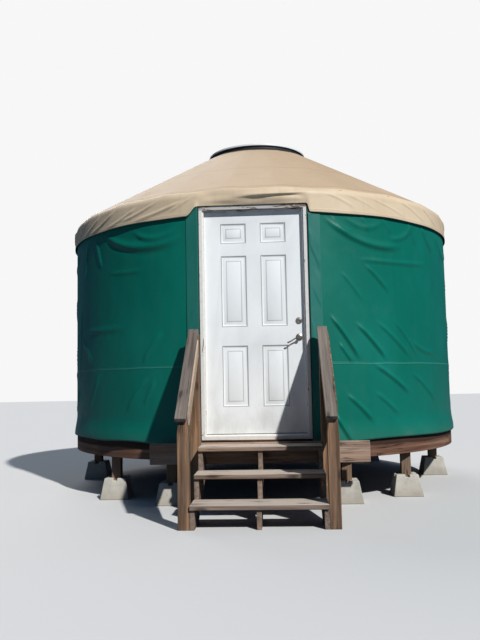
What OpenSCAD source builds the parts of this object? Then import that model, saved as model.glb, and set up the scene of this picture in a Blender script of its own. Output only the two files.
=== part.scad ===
// A round fabric-covered yurt on a timber platform, with a six-panel door and a flight of steps.
// Millimetres, +Z up. The origin is the centre of the platform at ground level, and the door faces -Y.

/* [Platform] */
// Radius to the outside of the rim board
platform_r = 2134; // [1900:1:2500]
// Height of the floor above the ground
deck_top = 590; // [540:1:760]
// Thickness of the tongue-and-groove floor boards
deck_t = 38; // [30:1:45]
// Height of the bent rim board
rim_h = 184; // [150:1:210]
// Thickness of the bent rim board
rim_t = 38; // [25:1:45]
// Depth of the joists and beams
joist_h = 140; // [120:1:160]
// Thickness of one sawn board, used for joists, treads, stringers and rails
board_t = 38; // [32:1:45]
// Distance between joist centres
joist_pitch = 406; // [350:1:480]
// Width of the square posts
post_w = 89; // [80:1:100]
// Side of a pier block at the ground
block_base = 280; // [260:1:340]
// Side of a pier block at its top
block_top = 205; // [180:1:230]
// Height of a pier block
block_h = 200; // [170:1:230]

/* [Wall] */
// Height of the lattice wall above the top of the door frame
wall_over_door = 43; // [20:1:200]
// Width of a lattice lath
lath_w = 38; // [25:1:45]
// Thickness of a lattice lath
lath_t = 14; // [10:1:18]
// Thickness of the wall fabric with its insulation
cover_t = 6; // [4:1:10]
// Length of wall fabric that hangs over the rim board
skirt = 25; // [10:1:60]
// Diameter of the steel cable round the top of the lattice
cable_d = 10; // [6:1:12]

/* [Roof] */
// Slope of the roof in degrees
roof_slope = 30; // [25:0.5:33]
// Number of rafters
rafter_count = 24; // [16:1:30]
// Depth of a rafter
rafter_h = 89; // [75:1:110]
// Outer radius of the centre ring
ring_r = 610; // [500:1:700]
// Width of the centre ring, seen from below
ring_w = 76; // [50:1:100]
// Height of the centre ring
ring_h = 140; // [120:1:160]
// Thickness of the roof fabric with its insulation
roof_t = 5; // [4:1:8]
// Drop of the valance below the eave
valance_h = 215; // [180:1:280]
// Height of the skylight curb above the roof fabric
curb_h = 38; // [30:1:80]
// Rise of the skylight dome
dome_rise = 110; // [80:1:160]

/* [Door] */
// Width of the door
door_w = 914; // [760:1:960]
// Height of the door
door_h = 2032; // [1980:1:2050]
// Thickness of the door
door_t = 44; // [35:1:50]
// Thickness of the door jambs
jamb_t = 32; // [28:1:38]
// Depth of the door jambs
jamb_d = 95; // [89:1:140]
// Height of the head jamb
head_t = 50; // [40:1:60]
// Height of the threshold
sill_h = 45; // [35:1:50]

/* [Steps] */
// Width of the treads
tread_w = 1050; // [900:1:1200]
// Going from one nosing to the next
step_run = 308; // [270:1:320]
// Height from one tread to the next
step_rise = 188; // [170:1:195]
// Offset of the steps to the right of the door's centre line
step_x = 36; // [0:1:60]
// Width of the two boards in a tread
tread_board = 140; // [120:1:145]
// Slope of the handrails in degrees
rail_slope = 39.6; // [36:0.5:44]
// Height of the handrail's lower end above the ground
rail_low = 808; // [740:1:860]

/* [Hidden] */
$fn = 144;

// Clearances and cutting overrun
seat_gap = 0.3;
over = 5;
fuse = 1;
pin_gap = 0.08;

// Timber colours
pine = "peru";
grey_wood = "rosybrown";
floor_wood = "burlywood";
green_cloth = "seagreen";
tan_cloth = "tan";
white_paint = "white";

// Heights of the platform's layers
deck_under = deck_top - deck_t;
joist_under = deck_under - joist_h;
socket_depth = 25;
beam_w = 2 * board_t;
deck_r = platform_r - rim_t;
frame_r = deck_r - seat_gap;
rim_pieces = 8;
butt_gap = 2;

// Beam lines, as shares of the platform's radius, with the post places along each one
beam_line_shares = [-0.86, -0.69, 0, 0.69, 0.86];
post_place_shares = [0.375, 0.655, 0.92, 0.655, 0.375];

// The chord half length of a disc of radius r at distance d from its centre
function half_chord(r, d) = sqrt(max(r * r - d * d, 0));

post_places = [
    for (i = [0 : len(beam_line_shares) - 1], side = [-1, 1])
        [side * post_place_shares[i] * platform_r, beam_line_shares[i] * platform_r],
    [0, 0]
];

// Lattice wall
lath_play = 6;
lattice_out_r = platform_r - lath_play;
lattice_mid_r = lattice_out_r - lath_t;
door_gap = 5;
sweep_gap = 6;
frame_rise = sill_h + sweep_gap + door_h + door_gap + head_t;
wall_h = frame_rise + wall_over_door;
lattice_top = deck_top + wall_h;
lattice_rows = 11;
lattice_panels = 4;
panel_strips = 16;
panel_gap = 4;

// Door frame: its front corners lie on the wall fabric's inside
frame_w = door_w + 2 * (door_gap + jamb_t);
cover_in_r = platform_r + seat_gap;
cover_out_r = cover_in_r + cover_t;
frame_front = -half_chord(cover_in_r, frame_w / 2);
frame_back = frame_front + jamb_d;
slab_back = frame_back;
slab_front = slab_back - door_t;
slab_bottom = deck_top + sill_h + sweep_gap;
slab_top = slab_bottom + door_h;
frame_top = deck_top + frame_rise;
door_angle = asin((frame_w / 2 + 2 * seat_gap) / (lattice_mid_r - lath_t));
cover_door_angle = asin((frame_w / 2 + 2 * seat_gap) / cover_in_r);
wall_sweep = 360 - 2 * door_angle;
cover_sweep = 360 - 2 * cover_door_angle;
stop_t = 12;
stop_w = 35;
header_d = 89;
header_up = 15;
head_lap = 15;
flap_w = 140;
flap_t = 2;

// Roof
header_top = lattice_top + cable_d + header_up;
rise_ratio = tan(roof_slope);
cable_r = lattice_mid_r;
cable_z = lattice_top + cable_d / 2;
notch_depth = 20;
rafter_rise = rafter_h / cos(roof_slope);
cover_play = 6;
eave_r = cover_out_r + cover_play;
// Height of the rafters' upper faces, and so of the roof fabric's underside, at radius r
function roof_z(r) = cable_z + cable_d / 2 - notch_depth + rafter_rise + (cable_r - r) * rise_ratio;
roof_lift = seat_gap;
roof_rise = roof_t / cos(roof_slope);
eave_z = roof_z(eave_r) + roof_lift;
valance_r = eave_r - roof_t;
gore_count = 12;
gore_gap = 0.03;
ring_in_r = ring_r - ring_w;
ring_top = roof_z(ring_r);
curb_t = 30;
rim_w = 45;
rim_edge = 14;
dome_t = 4;
dome_steps = 9;
tail_out = 19;

// Steps
step_count = 3;
top_drop = 28;
ledger_len = 1930;
ledger_drop = 15;
ledger_top = deck_top - ledger_drop;
ledger_back = -platform_r - seat_gap;
ledger_front = ledger_back - board_t;
nosing = 20;
tread_slot = 5;
newel_chamfer = 25;
newel_chamfer_h = 95;
cap_shift = 11;
tread_depth = 2 * tread_board + tread_slot;

// Height of tread n's top, and the place of its nosing, with n from 1 at the bottom
function tread_z(n) = deck_top - top_drop - (step_count - n) * step_rise;
function nose_y(n) = ledger_front - top_tread_depth - (step_count - n) * step_run;
top_tread_depth = 260;
newel_front = nose_y(1) + nosing;
rear_front = ledger_front - seat_gap - post_w;
cap_reach = 22;
rail_low_y = newel_front - cap_reach;
rail_high_y = rear_front + post_w + cap_reach;
post_in_x = tread_w / 2 + seat_gap;
function rail_z(y) = rail_low + (y - rail_low_y) * tan(rail_slope);

// Hinges and lock
hinge_r = 6;
hinge_pin_r = 4;
hinge_h = 89;
leaf_t = 1.3;
leaf_d = 38;
leaf_stand = 1;
hinge_axis = [-door_w / 2 - door_gap / 2, slab_back + hinge_r + 1.5 * leaf_stand];
hinge_shares = [0.1, 0.52, 0.91];
knuckle_gap = 0.4;
pin_tip = 2;
spindle_r = 12;
lever_inset = 56;
lever_up = 856;
deadbolt_up = 151;
lever_z = slab_bottom + lever_up;
deadbolt_z = lever_z + deadbolt_up;
lever_x = door_w / 2 - lever_inset;
rose_r = 33;
rose_t = 9;
bolt_rose_r = 30;
thumb_turn = [8, 26, 32];
lever_droop = 23.5;
lever_len = 120;
lever_neck = 46;
hub_out = 3;
arm_t = 12;
arm_h = 17;

// A box given by its lowest and highest corners
module block(low, high) {
    translate(low) cube(high - low);
}

// A sector of a revolved profile, from angle a to angle b, counted from the door line towards +X
module sector(a, b) {
    rotate([0, 0, a - 90]) rotate_extrude(angle = b - a) children();
}

// A straight bar on the platform's disc, along X at distance y, shortened to stay inside radius r
module disc_bar_x(y, w, z0, z1, r) {
    far = abs(y) + w / 2;
    half = half_chord(r, far);
    block([-half, y - w / 2, z0], [half, y + w / 2, z1]);
}

module pier_block() {
    taper = (block_base - block_top) / 2;
    slot_w = board_t + 2;
    side = [[-block_base / 2, 0], [block_base / 2, 0], [block_top / 2, block_h], [-block_top / 2, block_h]];
    difference() {
        intersection() {
            rotate([90, 0, 0]) linear_extrude(block_base, center = true) polygon(side);
            rotate([90, 0, 90]) linear_extrude(block_base, center = true) polygon(side);
        }
        // Socket for the square post, and the crossed slots for boards on edge
        block([-post_w / 2 - fuse, -post_w / 2 - fuse, block_h - socket_depth],
              [post_w / 2 + fuse, post_w / 2 + fuse, block_h + over]);
        for (turn = [0, 90])
            rotate([0, 0, turn])
                block([-block_base, -slot_w / 2, block_h - socket_depth],
                      [block_base, slot_w / 2, block_h + over]);
    }
}

module pier_blocks() {
    color("silver")
        for (p = post_places) translate([p[0], p[1], 0]) pier_block();
}

module platform_posts() {
    color(pine)
        for (p = post_places)
            block([p[0] - post_w / 2, p[1] - post_w / 2, block_h - socket_depth],
                  [p[0] + post_w / 2, p[1] + post_w / 2, joist_under]);
}

module floor_beams() {
    color(pine)
        for (s = beam_line_shares) disc_bar_x(s * platform_r, beam_w, joist_under, deck_under, frame_r);
}

// Joists run front to back, cut between the beams and the rim
module floor_joists() {
    lines = floor((frame_r - board_t) / joist_pitch);
    color(pine)
        for (i = [-lines : lines]) {
            x = i * joist_pitch;
            end = half_chord(frame_r, abs(x) + board_t / 2);
            cuts = [for (s = beam_line_shares) if (abs(s * platform_r) + beam_w < end) s * platform_r];
            starts = concat([-end], [for (c = cuts) c + beam_w / 2 + seat_gap]);
            stops = concat([for (c = cuts) c - beam_w / 2 - seat_gap], [end]);
            for (k = [0 : len(starts) - 1])
                block([x - board_t / 2, starts[k], joist_under], [x + board_t / 2, stops[k], deck_under]);
        }
}

module rim_boards() {
    step = 360 / rim_pieces;
    gap = butt_gap / platform_r * 180 / PI;
    color("sienna")
        for (i = [0 : rim_pieces - 1])
            sector((i - 0.5) * step + gap / 2, (i + 0.5) * step - gap / 2)
                translate([deck_r, deck_top - rim_h]) square([rim_t, rim_h]);
}

module floor_deck() {
    color(floor_wood)
        translate([0, 0, deck_under]) cylinder(r = frame_r, h = deck_t);
}

module step_ledger() {
    color(grey_wood)
        block([step_x / 2 - ledger_len / 2, ledger_front, ledger_top - rim_h],
              [step_x / 2 + ledger_len / 2, ledger_back, ledger_top]);
}

// One saw-toothed stringer on edge, with its left face at x
module stringer(x) {
    seats = [for (n = [1 : step_count]) tread_z(n) - board_t];
    fronts = [for (n = [1 : step_count]) nose_y(n) + nosing];
    back = ledger_front - seat_gap;
    throat = step_rise + board_t;
    teeth = [for (n = [0 : step_count - 1], k = [0, 1])
        [fronts[n], k == 0 ? (n == 0 ? 0 : seats[n - 1]) : seats[n]]];
    outline = concat(teeth, [
        [back, seats[step_count - 1]],
        [back, seats[step_count - 1] - throat],
        [fronts[0] + step_run * 0.9, 0]
    ]);
    color(grey_wood)
        translate([x, 0, 0]) rotate([90, 0, 90]) linear_extrude(board_t) polygon(outline);
}

module stringers() {
    for (x = [step_x - tread_w / 2, step_x - board_t / 2, step_x + tread_w / 2 - board_t]) stringer(x);
}

// One tread of two boards, with the back board ripped to fit in front of the ledger at the top
module tread(n) {
    back = min(nose_y(n) + tread_depth, ledger_front - seat_gap);
    boards = [[nose_y(n), nose_y(n) + tread_board], [nose_y(n) + tread_board + tread_slot, back]];
    color(grey_wood)
        for (b = boards)
            block([step_x - tread_w / 2, b[0], tread_z(n) - board_t],
                  [step_x + tread_w / 2, b[1], tread_z(n)]);
}

module treads() {
    for (n = [1 : step_count]) tread(n);
}

// Everything above the handrail's sloping underside, as a cutting prism
module above_rail() {
    y0 = rail_low_y - step_run;
    y1 = rail_high_y + step_run;
    top = rail_z(y1) + tread_w;
    rotate([90, 0, 90]) linear_extrude(4 * tread_w, center = true)
        polygon([[y0, rail_z(y0)], [y1, rail_z(y1)], [y1, top], [y0, top]]);
}

// Front posts: cut to the rail's slope, with both side faces sloping in below the cap
module newel(side) {
    x0 = post_in_x;
    x1 = post_in_x + post_w;
    low = rail_low - newel_chamfer_h;
    high = rail_low + newel_chamfer_h;
    color(pine)
        translate([step_x, 0, 0]) mirror([side < 0 ? 1 : 0, 0, 0])
            difference() {
                block([x0, newel_front, 0], [x1, newel_front + post_w, rail_z(newel_front + post_w)]);
                above_rail();
                rotate([90, 0, 0]) linear_extrude(-4 * newel_front, center = true) {
                    polygon([[x1 + over, low], [x1, low], [x1 - newel_chamfer, high], [x1 + over, high]]);
                    polygon([[x0 - over, low], [x0, low], [x0 + newel_chamfer, high], [x0 - over, high]]);
                }
            }
}

module newels() {
    for (side = [-1, 1]) newel(side);
}

module rear_post(side) {
    color(pine)
        translate([step_x, 0, 0]) mirror([side < 0 ? 1 : 0, 0, 0])
            difference() {
                block([post_in_x, rear_front, 0],
                      [post_in_x + post_w, rear_front + post_w, rail_z(rear_front + post_w)]);
                above_rail();
            }
}

module rear_posts() {
    for (side = [-1, 1]) rear_post(side);
}

// Sloping handrail laid flat on the posts, a little to the left of them
module rail_cap(side) {
    length = (rail_high_y - rail_low_y) / cos(rail_slope);
    color("darkgray")
        translate([step_x - cap_shift, 0, 0]) mirror([side < 0 ? 1 : 0, 0, 0])
            translate([post_in_x, rail_low_y, rail_z(rail_low_y) + seat_gap]) rotate([rail_slope, 0, 0])
                cube([post_w, length, board_t]);
}

module rail_caps() {
    for (side = [-1, 1]) rail_cap(side);
}

// One lath between two neighbouring crossing lines, in the flat strip that the two lines span.
// way is 1 for laths that climb towards +X and -1 for the others.
module lath_piece(strip_w, row_h, row, way) {
    half = lath_w / 2 * sqrt(1 + pow(row_h / strip_w, 2));
    z0 = row * row_h + (way > 0 ? 0 : row_h);
    z1 = row * row_h + (way > 0 ? row_h : 0);
    ease = fuse / strip_w * (z1 - z0);
    x0 = -strip_w / 2 - fuse;
    x1 = strip_w / 2 + fuse;
    low = deck_top;
    high = lattice_top;
    function clip(z) = min(max(z + deck_top, low), high);
    polygon([
        [x0, clip(z0 - half - ease)], [x1, clip(z1 - half + ease)],
        [x1, clip(z1 + half + ease)], [x0, clip(z0 + half - ease)]
    ]);
}

// A panel of lattice: flat strips round the wall, with one layer of laths for each direction
module lattice_panel(index) {
    panel_angle = wall_sweep / lattice_panels;
    gap = panel_gap / lattice_mid_r * 180 / PI;
    step = (panel_angle - gap) / panel_strips;
    start = door_angle + index * panel_angle + gap / 2;
    row_h = wall_h / lattice_rows;
    for (s = [0 : panel_strips - 1]) {
        middle = start + (s + 0.5) * step;
        strip_w = 2 * lattice_mid_r * tan(step / 2);
        for (way = [-1, 1]) {
            inner = way > 0 ? lattice_mid_r - fuse / 2 : lattice_mid_r - lath_t;
            rotate([0, 0, middle]) translate([0, -inner, 0]) rotate([90, 0, 0])
                linear_extrude(lath_t + fuse / 2)
                    for (row = [0 : lattice_rows - 1])
                        if ((row + s) % 2 == (way > 0 ? 0 : 1)) lath_piece(strip_w, row_h, row, way);
        }
    }
}

module lattice(index) {
    color(floor_wood) lattice_panel(index);
}

module eave_cable() {
    color("slategray")
        sector(door_angle, 360 - door_angle) translate([cable_r, cable_z]) circle(d = cable_d, $fn = 8);
}

// Wall fabric, in six lengths round the wall
module wall_cover(index) {
    step = cover_sweep / 6;
    start = cover_door_angle + index * step;
    color(green_cloth)
        sector(start, start + step - gore_gap)
            translate([cover_in_r, deck_top - skirt])
                square([cover_t, eave_z - deck_top + skirt - roof_rise]);
}

// Doubled strips of fabric beside the door
module door_flap(side) {
    sweep = flap_w / cover_out_r * 180 / PI;
    a = side > 0 ? cover_door_angle : 360 - cover_door_angle - sweep;
    color(green_cloth)
        sector(a, a + sweep)
            translate([cover_out_r + seat_gap, deck_top - skirt])
                square([flap_t, eave_z - valance_h - deck_top + skirt - seat_gap]);
}

module valance() {
    step = cover_sweep / gore_count;
    color(tan_cloth)
        for (i = [0 : gore_count - 1])
            sector(cover_door_angle + i * step, cover_door_angle + (i + 1) * step - gore_gap)
                translate([valance_r, eave_z - valance_h]) square([roof_t, valance_h]);
}

// Fabric over the door, from the curved eave to the straight top of the frame
module door_head_flap() {
    cells = 12;
    top = eave_z;
    bottom = frame_top - head_lap;
    function share(i) = i / cells * 2 - 1;
    function arc(i, r) = let (a = share(i) * (cover_door_angle - gore_gap)) [r * sin(a), -r * cos(a)];
    function low(i, y) = [share(i) * frame_w / 2, y];
    outer = [for (i = [0 : cells]) concat(arc(i, eave_r), [top])];
    inner = [for (i = [0 : cells]) concat(arc(i, valance_r), [top])];
    low_out = [for (i = [0 : cells]) concat(low(i, frame_front - seat_gap - roof_t), [bottom])];
    low_in = [for (i = [0 : cells]) concat(low(i, frame_front - seat_gap), [bottom])];
    // The four rows of points, as the first number of each: outer and inner at the top, then at the bottom
    a = 0;
    b = cells + 1;
    c = 2 * b;
    d = 3 * b;
    // Two triangles that join cell i of row p to row q
    function strip(p, q) = [
        for (i = [0 : cells - 1], t = [0, 1])
            t == 0 ? [p + i, p + i + 1, q + i] : [p + i + 1, q + i + 1, q + i]
    ];
    ends = [[a, c, b], [b, c, d], [a + cells, b + cells, c + cells], [b + cells, d + cells, c + cells]];
    color(tan_cloth)
        polyhedron(
            points = concat(outer, inner, low_out, low_in),
            faces = concat(strip(a, c), strip(d, b), strip(b, a), strip(c, d), ends)
        );
}

// One rafter, from its notch over the cable to the centre ring
module rafter() {
    r0 = cable_r + tail_out;
    r1 = ring_r + seat_gap;
    profile = [
        [r0, roof_z(r0) - rafter_rise], [r0, roof_z(r0)], [r1, roof_z(r1)], [r1, roof_z(r1) - rafter_rise]
    ];
    difference() {
        rotate([90, 0, 0]) linear_extrude(board_t, center = true) polygon(profile);
        block([lattice_mid_r - lath_t - seat_gap, -board_t, cable_z - rafter_h],
              [cable_r + tail_out + over, board_t, cable_z + cable_d / 2 + seat_gap]);
    }
}

// A rafter over the door, seated on the header, with its tail cut flush with the header's face
module door_rafter(turn) {
    r1 = ring_r + seat_gap;
    r0 = -frame_front / cos(turn);
    seat_z = header_top + seat_gap;
    difference() {
        rotate([90, 0, 0]) linear_extrude(board_t, center = true)
            polygon([
                [r0, roof_z(r0) - rafter_rise], [r0, roof_z(r0)],
                [r1, roof_z(r1)], [r1, roof_z(r1) - rafter_rise]
            ]);
        block([r0 - step_run, -board_t, seat_z - step_run], [r0 + over, board_t, seat_z]);
    }
}

module rafters() {
    step = 360 / rafter_count;
    color(floor_wood)
        for (i = [0 : rafter_count - 1]) {
            turn = (i + 0.5) * step;
            rotate([0, 0, turn - 90])
                if (turn < door_angle || turn > 360 - door_angle) door_rafter(min(turn, 360 - turn));
                else rafter();
        }
}

module centre_ring() {
    color(floor_wood)
        rotate_extrude() translate([ring_in_r, ring_top - ring_h]) square([ring_w, ring_h]);
}

// Roof fabric in welded gores
module roof_cover() {
    step = 360 / gore_count;
    r0 = ring_r - ring_w / 2;
    low0 = roof_z(r0) + roof_lift;
    color(tan_cloth)
        for (i = [0 : gore_count - 1])
            sector((i - 0.5) * step, (i + 0.5) * step - gore_gap)
                polygon([
                    [r0, low0], [eave_r, eave_z], [eave_r, eave_z + roof_rise], [r0, low0 + roof_rise]
                ]);
}

module skylight_curb() {
    z0 = ring_top + seat_gap + rise_ratio * ring_w / 2 + roof_rise;
    color("black")
        rotate_extrude()
            translate([ring_in_r, ring_top]) square([curb_t, z0 - ring_top + curb_h]);
}

module skylight_rim() {
    z0 = ring_top + seat_gap + rise_ratio * ring_w / 2 + roof_rise + curb_h;
    color(white_paint)
        rotate_extrude() translate([ring_in_r, z0]) square([rim_w, rim_edge]);
}

// Point i of the dome's arc on a ball of radius b, from the middle out to where it meets the rim
function dome_point(i, b, drop) =
    let (x = sqrt(b * b - drop * drop) * i / dome_steps) [x, sqrt(b * b - x * x) - drop];

module skylight_dome() {
    z0 = ring_top + seat_gap + rise_ratio * ring_w / 2 + roof_rise + curb_h + rim_edge;
    span = ring_in_r + rim_w / 2;
    ball = (span * span + dome_rise * dome_rise) / (2 * dome_rise);
    color("lightcyan", 0.6)
        translate([0, 0, z0]) rotate_extrude($fn = 180)
            polygon(concat(
                [for (i = [0 : dome_steps]) dome_point(i, ball, ball - dome_rise)],
                [for (i = [dome_steps : -1 : 0]) dome_point(i, ball - dome_t, ball - dome_rise)]
            ));
}

// Side jamb with its stop, for the jamb on the right
module door_jamb(side) {
    x0 = door_w / 2 + door_gap;
    x1 = x0 + jamb_t;
    z1 = frame_top - head_t;
    color(white_paint)
        mirror([side < 0 ? 1 : 0, 0, 0]) union() {
            block([x0, frame_front, deck_top], [x1, frame_back, z1]);
            block([x0 - stop_t, slab_front - seat_gap - stop_w, deck_top + sill_h + seat_gap],
                  [x0 + fuse, slab_front - seat_gap, z1]);
        }
}

module door_jambs() {
    for (side = [-1, 1]) door_jamb(side);
}

module door_head() {
    z0 = frame_top - head_t;
    color(white_paint)
        block([-frame_w / 2, frame_front, z0], [frame_w / 2, frame_back, frame_top]);
    color(white_paint)
        block([-door_w / 2 - door_gap + stop_t, slab_front - seat_gap - stop_w, z0 - stop_t],
              [door_w / 2 + door_gap - stop_t, slab_front - seat_gap, z0]);
}

// Timber above the frame that carries the rafters over the door
module door_header() {
    color(pine)
        block([-frame_w / 2, frame_front, frame_top], [frame_w / 2, frame_front + header_d, header_top]);
}

module door_threshold() {
    half = door_w / 2 + door_gap;
    color(white_paint)
        rotate([90, 0, 90]) linear_extrude(2 * half, center = true)
            polygon([
                [frame_back, deck_top], [frame_back, deck_top + sill_h],
                [slab_front - stop_w, deck_top + sill_h], [frame_front, deck_top + sill_h - stop_t],
                [frame_front, deck_top]
            ]);
}

// A box w wide and h high whose four sides lean in by bevel from its back face to its front face
module bevelled(w, h, depth, bevel) {
    intersection() {
        linear_extrude(h + over, center = true)
            polygon([[-w / 2, 0], [w / 2, 0], [w / 2 - bevel, -depth], [-w / 2 + bevel, -depth]]);
        rotate([90, 0, 90]) linear_extrude(w + over, center = true)
            polygon([[0, -h / 2], [0, h / 2], [-depth, h / 2 - bevel], [-depth, -h / 2 + bevel]]);
    }
}

door_columns = [-0.199, 0.199];
panel_w = 226;
panel_rows = [[0.12, 0.387], [0.4755, 0.793], [0.854, 0.9405]];
panel_sink = 8;
panel_bevel = 10;
field_inset = 26;
field_bevel = 20;
field_rise = 6;

// The sunk panels with raised fields, on one face of the door
module panel_sinks() {
    for (c = door_columns, r = panel_rows) {
        h = (r[1] - r[0]) * door_h;
        translate([c * door_w, 0, slab_bottom + (r[0] + r[1]) / 2 * door_h])
            difference() {
                translate([0, panel_sink, 0]) mirror([0, 1, 0]) bevelled_pocket(panel_w, h);
                translate([0, panel_sink, 0])
                    bevelled(panel_w - 2 * field_inset, h - 2 * field_inset, field_rise, field_bevel);
            }
    }
}

// A pocket w by h that narrows by the bevel from its mouth to its floor
module bevelled_pocket(w, h) {
    mouth = panel_sink + fuse * panel_sink / panel_bevel;
    x = w / 2;
    z = h / 2;
    intersection() {
        linear_extrude(h + over, center = true)
            polygon([[-x - fuse, mouth], [x + fuse, mouth], [x - panel_bevel, 0], [-x + panel_bevel, 0]]);
        rotate([90, 0, 90]) linear_extrude(w + over, center = true)
            polygon([[mouth, -z - fuse], [mouth, z + fuse], [0, z - panel_bevel], [0, -z + panel_bevel]]);
    }
}

module door_slab() {
    color(white_paint)
        difference() {
            block([-door_w / 2, slab_front, slab_bottom], [door_w / 2, slab_back, slab_top]);
            translate([lever_x, slab_front - over, lever_z]) rotate([-90, 0, 0])
                cylinder(r = spindle_r, h = door_t + 2 * over);
            translate([0, slab_front, 0]) panel_sinks();
            translate([0, slab_back, 0]) mirror([0, 1, 0]) panel_sinks();
        }
}

// One hinge half: leaf and knuckles. side is -1 for the jamb and 1 for the door
module hinge_half(side) {
    fifth = hinge_h / 5;
    mine = side < 0 ? [0, 2, 4] : [1, 3];
    x0 = side < 0 ? -door_gap / 2 : door_gap / 2 - leaf_t;
    inner = -hinge_r - leaf_stand;
    bore_r = side < 0 ? hinge_pin_r : hinge_pin_r + pin_gap;
    union() {
        block([x0, inner - leaf_d, 0], [x0 + leaf_t, inner, hinge_h]);
        for (k = mine) difference() {
            union() {
                translate([0, 0, k * fifth + knuckle_gap / 2])
                    cylinder(r = hinge_r, h = fifth - knuckle_gap);
                block([x0, inner - fuse, k * fifth + knuckle_gap / 2],
                      [x0 + leaf_t, 0, (k + 1) * fifth - knuckle_gap / 2]);
            }
            translate([0, 0, k * fifth - over]) cylinder(r = bore_r, h = fifth + 2 * over);
        }
        if (side < 0) translate([0, 0, -pin_tip]) cylinder(r = hinge_pin_r, h = hinge_h + 2 * pin_tip);
    }
}

module door_hinges(side) {
    color("gray")
        for (s = hinge_shares)
            translate([hinge_axis[0], hinge_axis[1], slab_bottom + s * door_h - hinge_h / 2])
                hinge_half(side);
}

module lock_roses() {
    color("dimgray")
        for (face = [[slab_front - seat_gap - rose_t, 1], [slab_back + seat_gap, 1]])
            translate([lever_x, face[0], lever_z]) rotate([-90, 0, 0]) difference() {
                cylinder(r = rose_r, h = rose_t);
                translate([0, 0, -over]) cylinder(r = spindle_r, h = rose_t + 2 * over);
            }
}

module deadbolt() {
    color("dimgray") {
        translate([lever_x, slab_front - seat_gap, deadbolt_z]) rotate([90, 0, 0]) {
            cylinder(r = bolt_rose_r, h = rose_t);
            cylinder(r = rose_r / 2, h = rose_t * 2);
        }
        translate([lever_x, slab_back + seat_gap, deadbolt_z]) rotate([-90, 0, 0]) {
            cylinder(r = bolt_rose_r, h = rose_t);
            block([-thumb_turn[0] / 2, -thumb_turn[2] / 2, 0],
                  [thumb_turn[0] / 2, thumb_turn[2] / 2, thumb_turn[1]]);
        }
    }
}

// Lever pair on one spindle, drooping below the level
module door_lever() {
    color("dimgray")
        translate([lever_x, 0, lever_z]) {
            translate([0, slab_front - lever_neck - hub_out, 0]) rotate([-90, 0, 0])
                cylinder(r = spindle_r - pin_gap, h = door_t + 2 * (lever_neck + hub_out));
            for (y = [slab_front - lever_neck, slab_back + lever_neck - arm_t])
                translate([0, y, 0]) rotate([0, -lever_droop, 0]) {
                    block([-lever_len, 0, -arm_h / 2], [0, arm_t, arm_h / 2]);
                    translate([-lever_len, 0, 0]) rotate([-90, 0, 0]) cylinder(d = arm_h, h = arm_t);
                }
        }
}

pier_blocks();
platform_posts();
floor_beams();
floor_joists();
rim_boards();
floor_deck();
step_ledger();
stringers();
treads();
newels();
rear_posts();
rail_caps();
lattice(0);  // lattice_front_right
lattice(1);  // lattice_back_right
lattice(2);  // lattice_back_left
lattice(3);  // lattice_front_left
eave_cable();
wall_cover(0);  // wall_cover_front_right
wall_cover(1);  // wall_cover_right
wall_cover(2);  // wall_cover_back_right
wall_cover(3);  // wall_cover_back_left
wall_cover(4);  // wall_cover_left
wall_cover(5);  // wall_cover_front_left
door_flap(-1);  // door_flap_left
door_flap(1);  // door_flap_right
door_head_flap();
rafters();
centre_ring();
roof_cover();
valance();
skylight_curb();
skylight_dome();
skylight_rim();
door_jambs();
door_head();
door_header();
door_threshold();
door_hinges(-1);
door_slab();
door_hinges(1);  // door_hinge_leaves
lock_roses();
deadbolt();
door_lever();
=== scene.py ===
from math import asin, copysign, cos, hypot, pi, radians, sin, sqrt, tan
import bmesh
import bpy
import numpy as np
from mathutils import Matrix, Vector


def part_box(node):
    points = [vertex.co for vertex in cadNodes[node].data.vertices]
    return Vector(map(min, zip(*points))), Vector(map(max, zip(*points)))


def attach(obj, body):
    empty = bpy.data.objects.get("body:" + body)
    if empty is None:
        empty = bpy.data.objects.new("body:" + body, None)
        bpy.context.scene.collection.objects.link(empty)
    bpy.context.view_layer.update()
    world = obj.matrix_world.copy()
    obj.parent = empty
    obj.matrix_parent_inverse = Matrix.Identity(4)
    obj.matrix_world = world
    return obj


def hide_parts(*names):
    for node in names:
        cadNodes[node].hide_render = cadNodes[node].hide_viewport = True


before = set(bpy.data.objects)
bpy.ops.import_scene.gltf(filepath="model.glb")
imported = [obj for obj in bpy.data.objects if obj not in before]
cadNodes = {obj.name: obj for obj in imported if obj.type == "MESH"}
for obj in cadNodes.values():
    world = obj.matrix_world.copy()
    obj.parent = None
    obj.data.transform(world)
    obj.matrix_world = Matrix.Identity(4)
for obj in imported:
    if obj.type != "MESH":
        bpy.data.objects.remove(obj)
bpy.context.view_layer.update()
scene = bpy.context.scene
scene.view_settings.view_transform = "Standard"

# ---- shader sums

class Wire:
    # a socket that sums can be written on: each operator adds its Math node
    def __init__(self, maker, socket):
        self.maker = maker
        self.socket = socket

    def sum(self, operation, a, b=0.0):
        return self.maker.node("ShaderNodeMath", {"operation": operation}, {0: a, 1: b})

    def __add__(self, other):
        return self.sum("ADD", self, other)

    def __sub__(self, other):
        return self.sum("SUBTRACT", self, other)

    def __mul__(self, other):
        return self.sum("MULTIPLY", self, other)

    def __truediv__(self, other):
        return self.sum("DIVIDE", self, other)

    def __rsub__(self, other):
        return self.sum("SUBTRACT", other, self)

    __radd__ = __add__
    __rmul__ = __mul__

    def size(self):
        return self.sum("ABSOLUTE", self)

    def wave(self):
        return self.sum("SINE", self)

    def larger(self, other):
        return self.sum("MAXIMUM", self, other)

    # 0 below low, 1 above high, and eased between them
    def rise(self, low, high):
        return self.maker.node("ShaderNodeMapRange", {"interpolation_type": "SMOOTHSTEP"}, {0: self, 1: low, 2: high})


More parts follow.
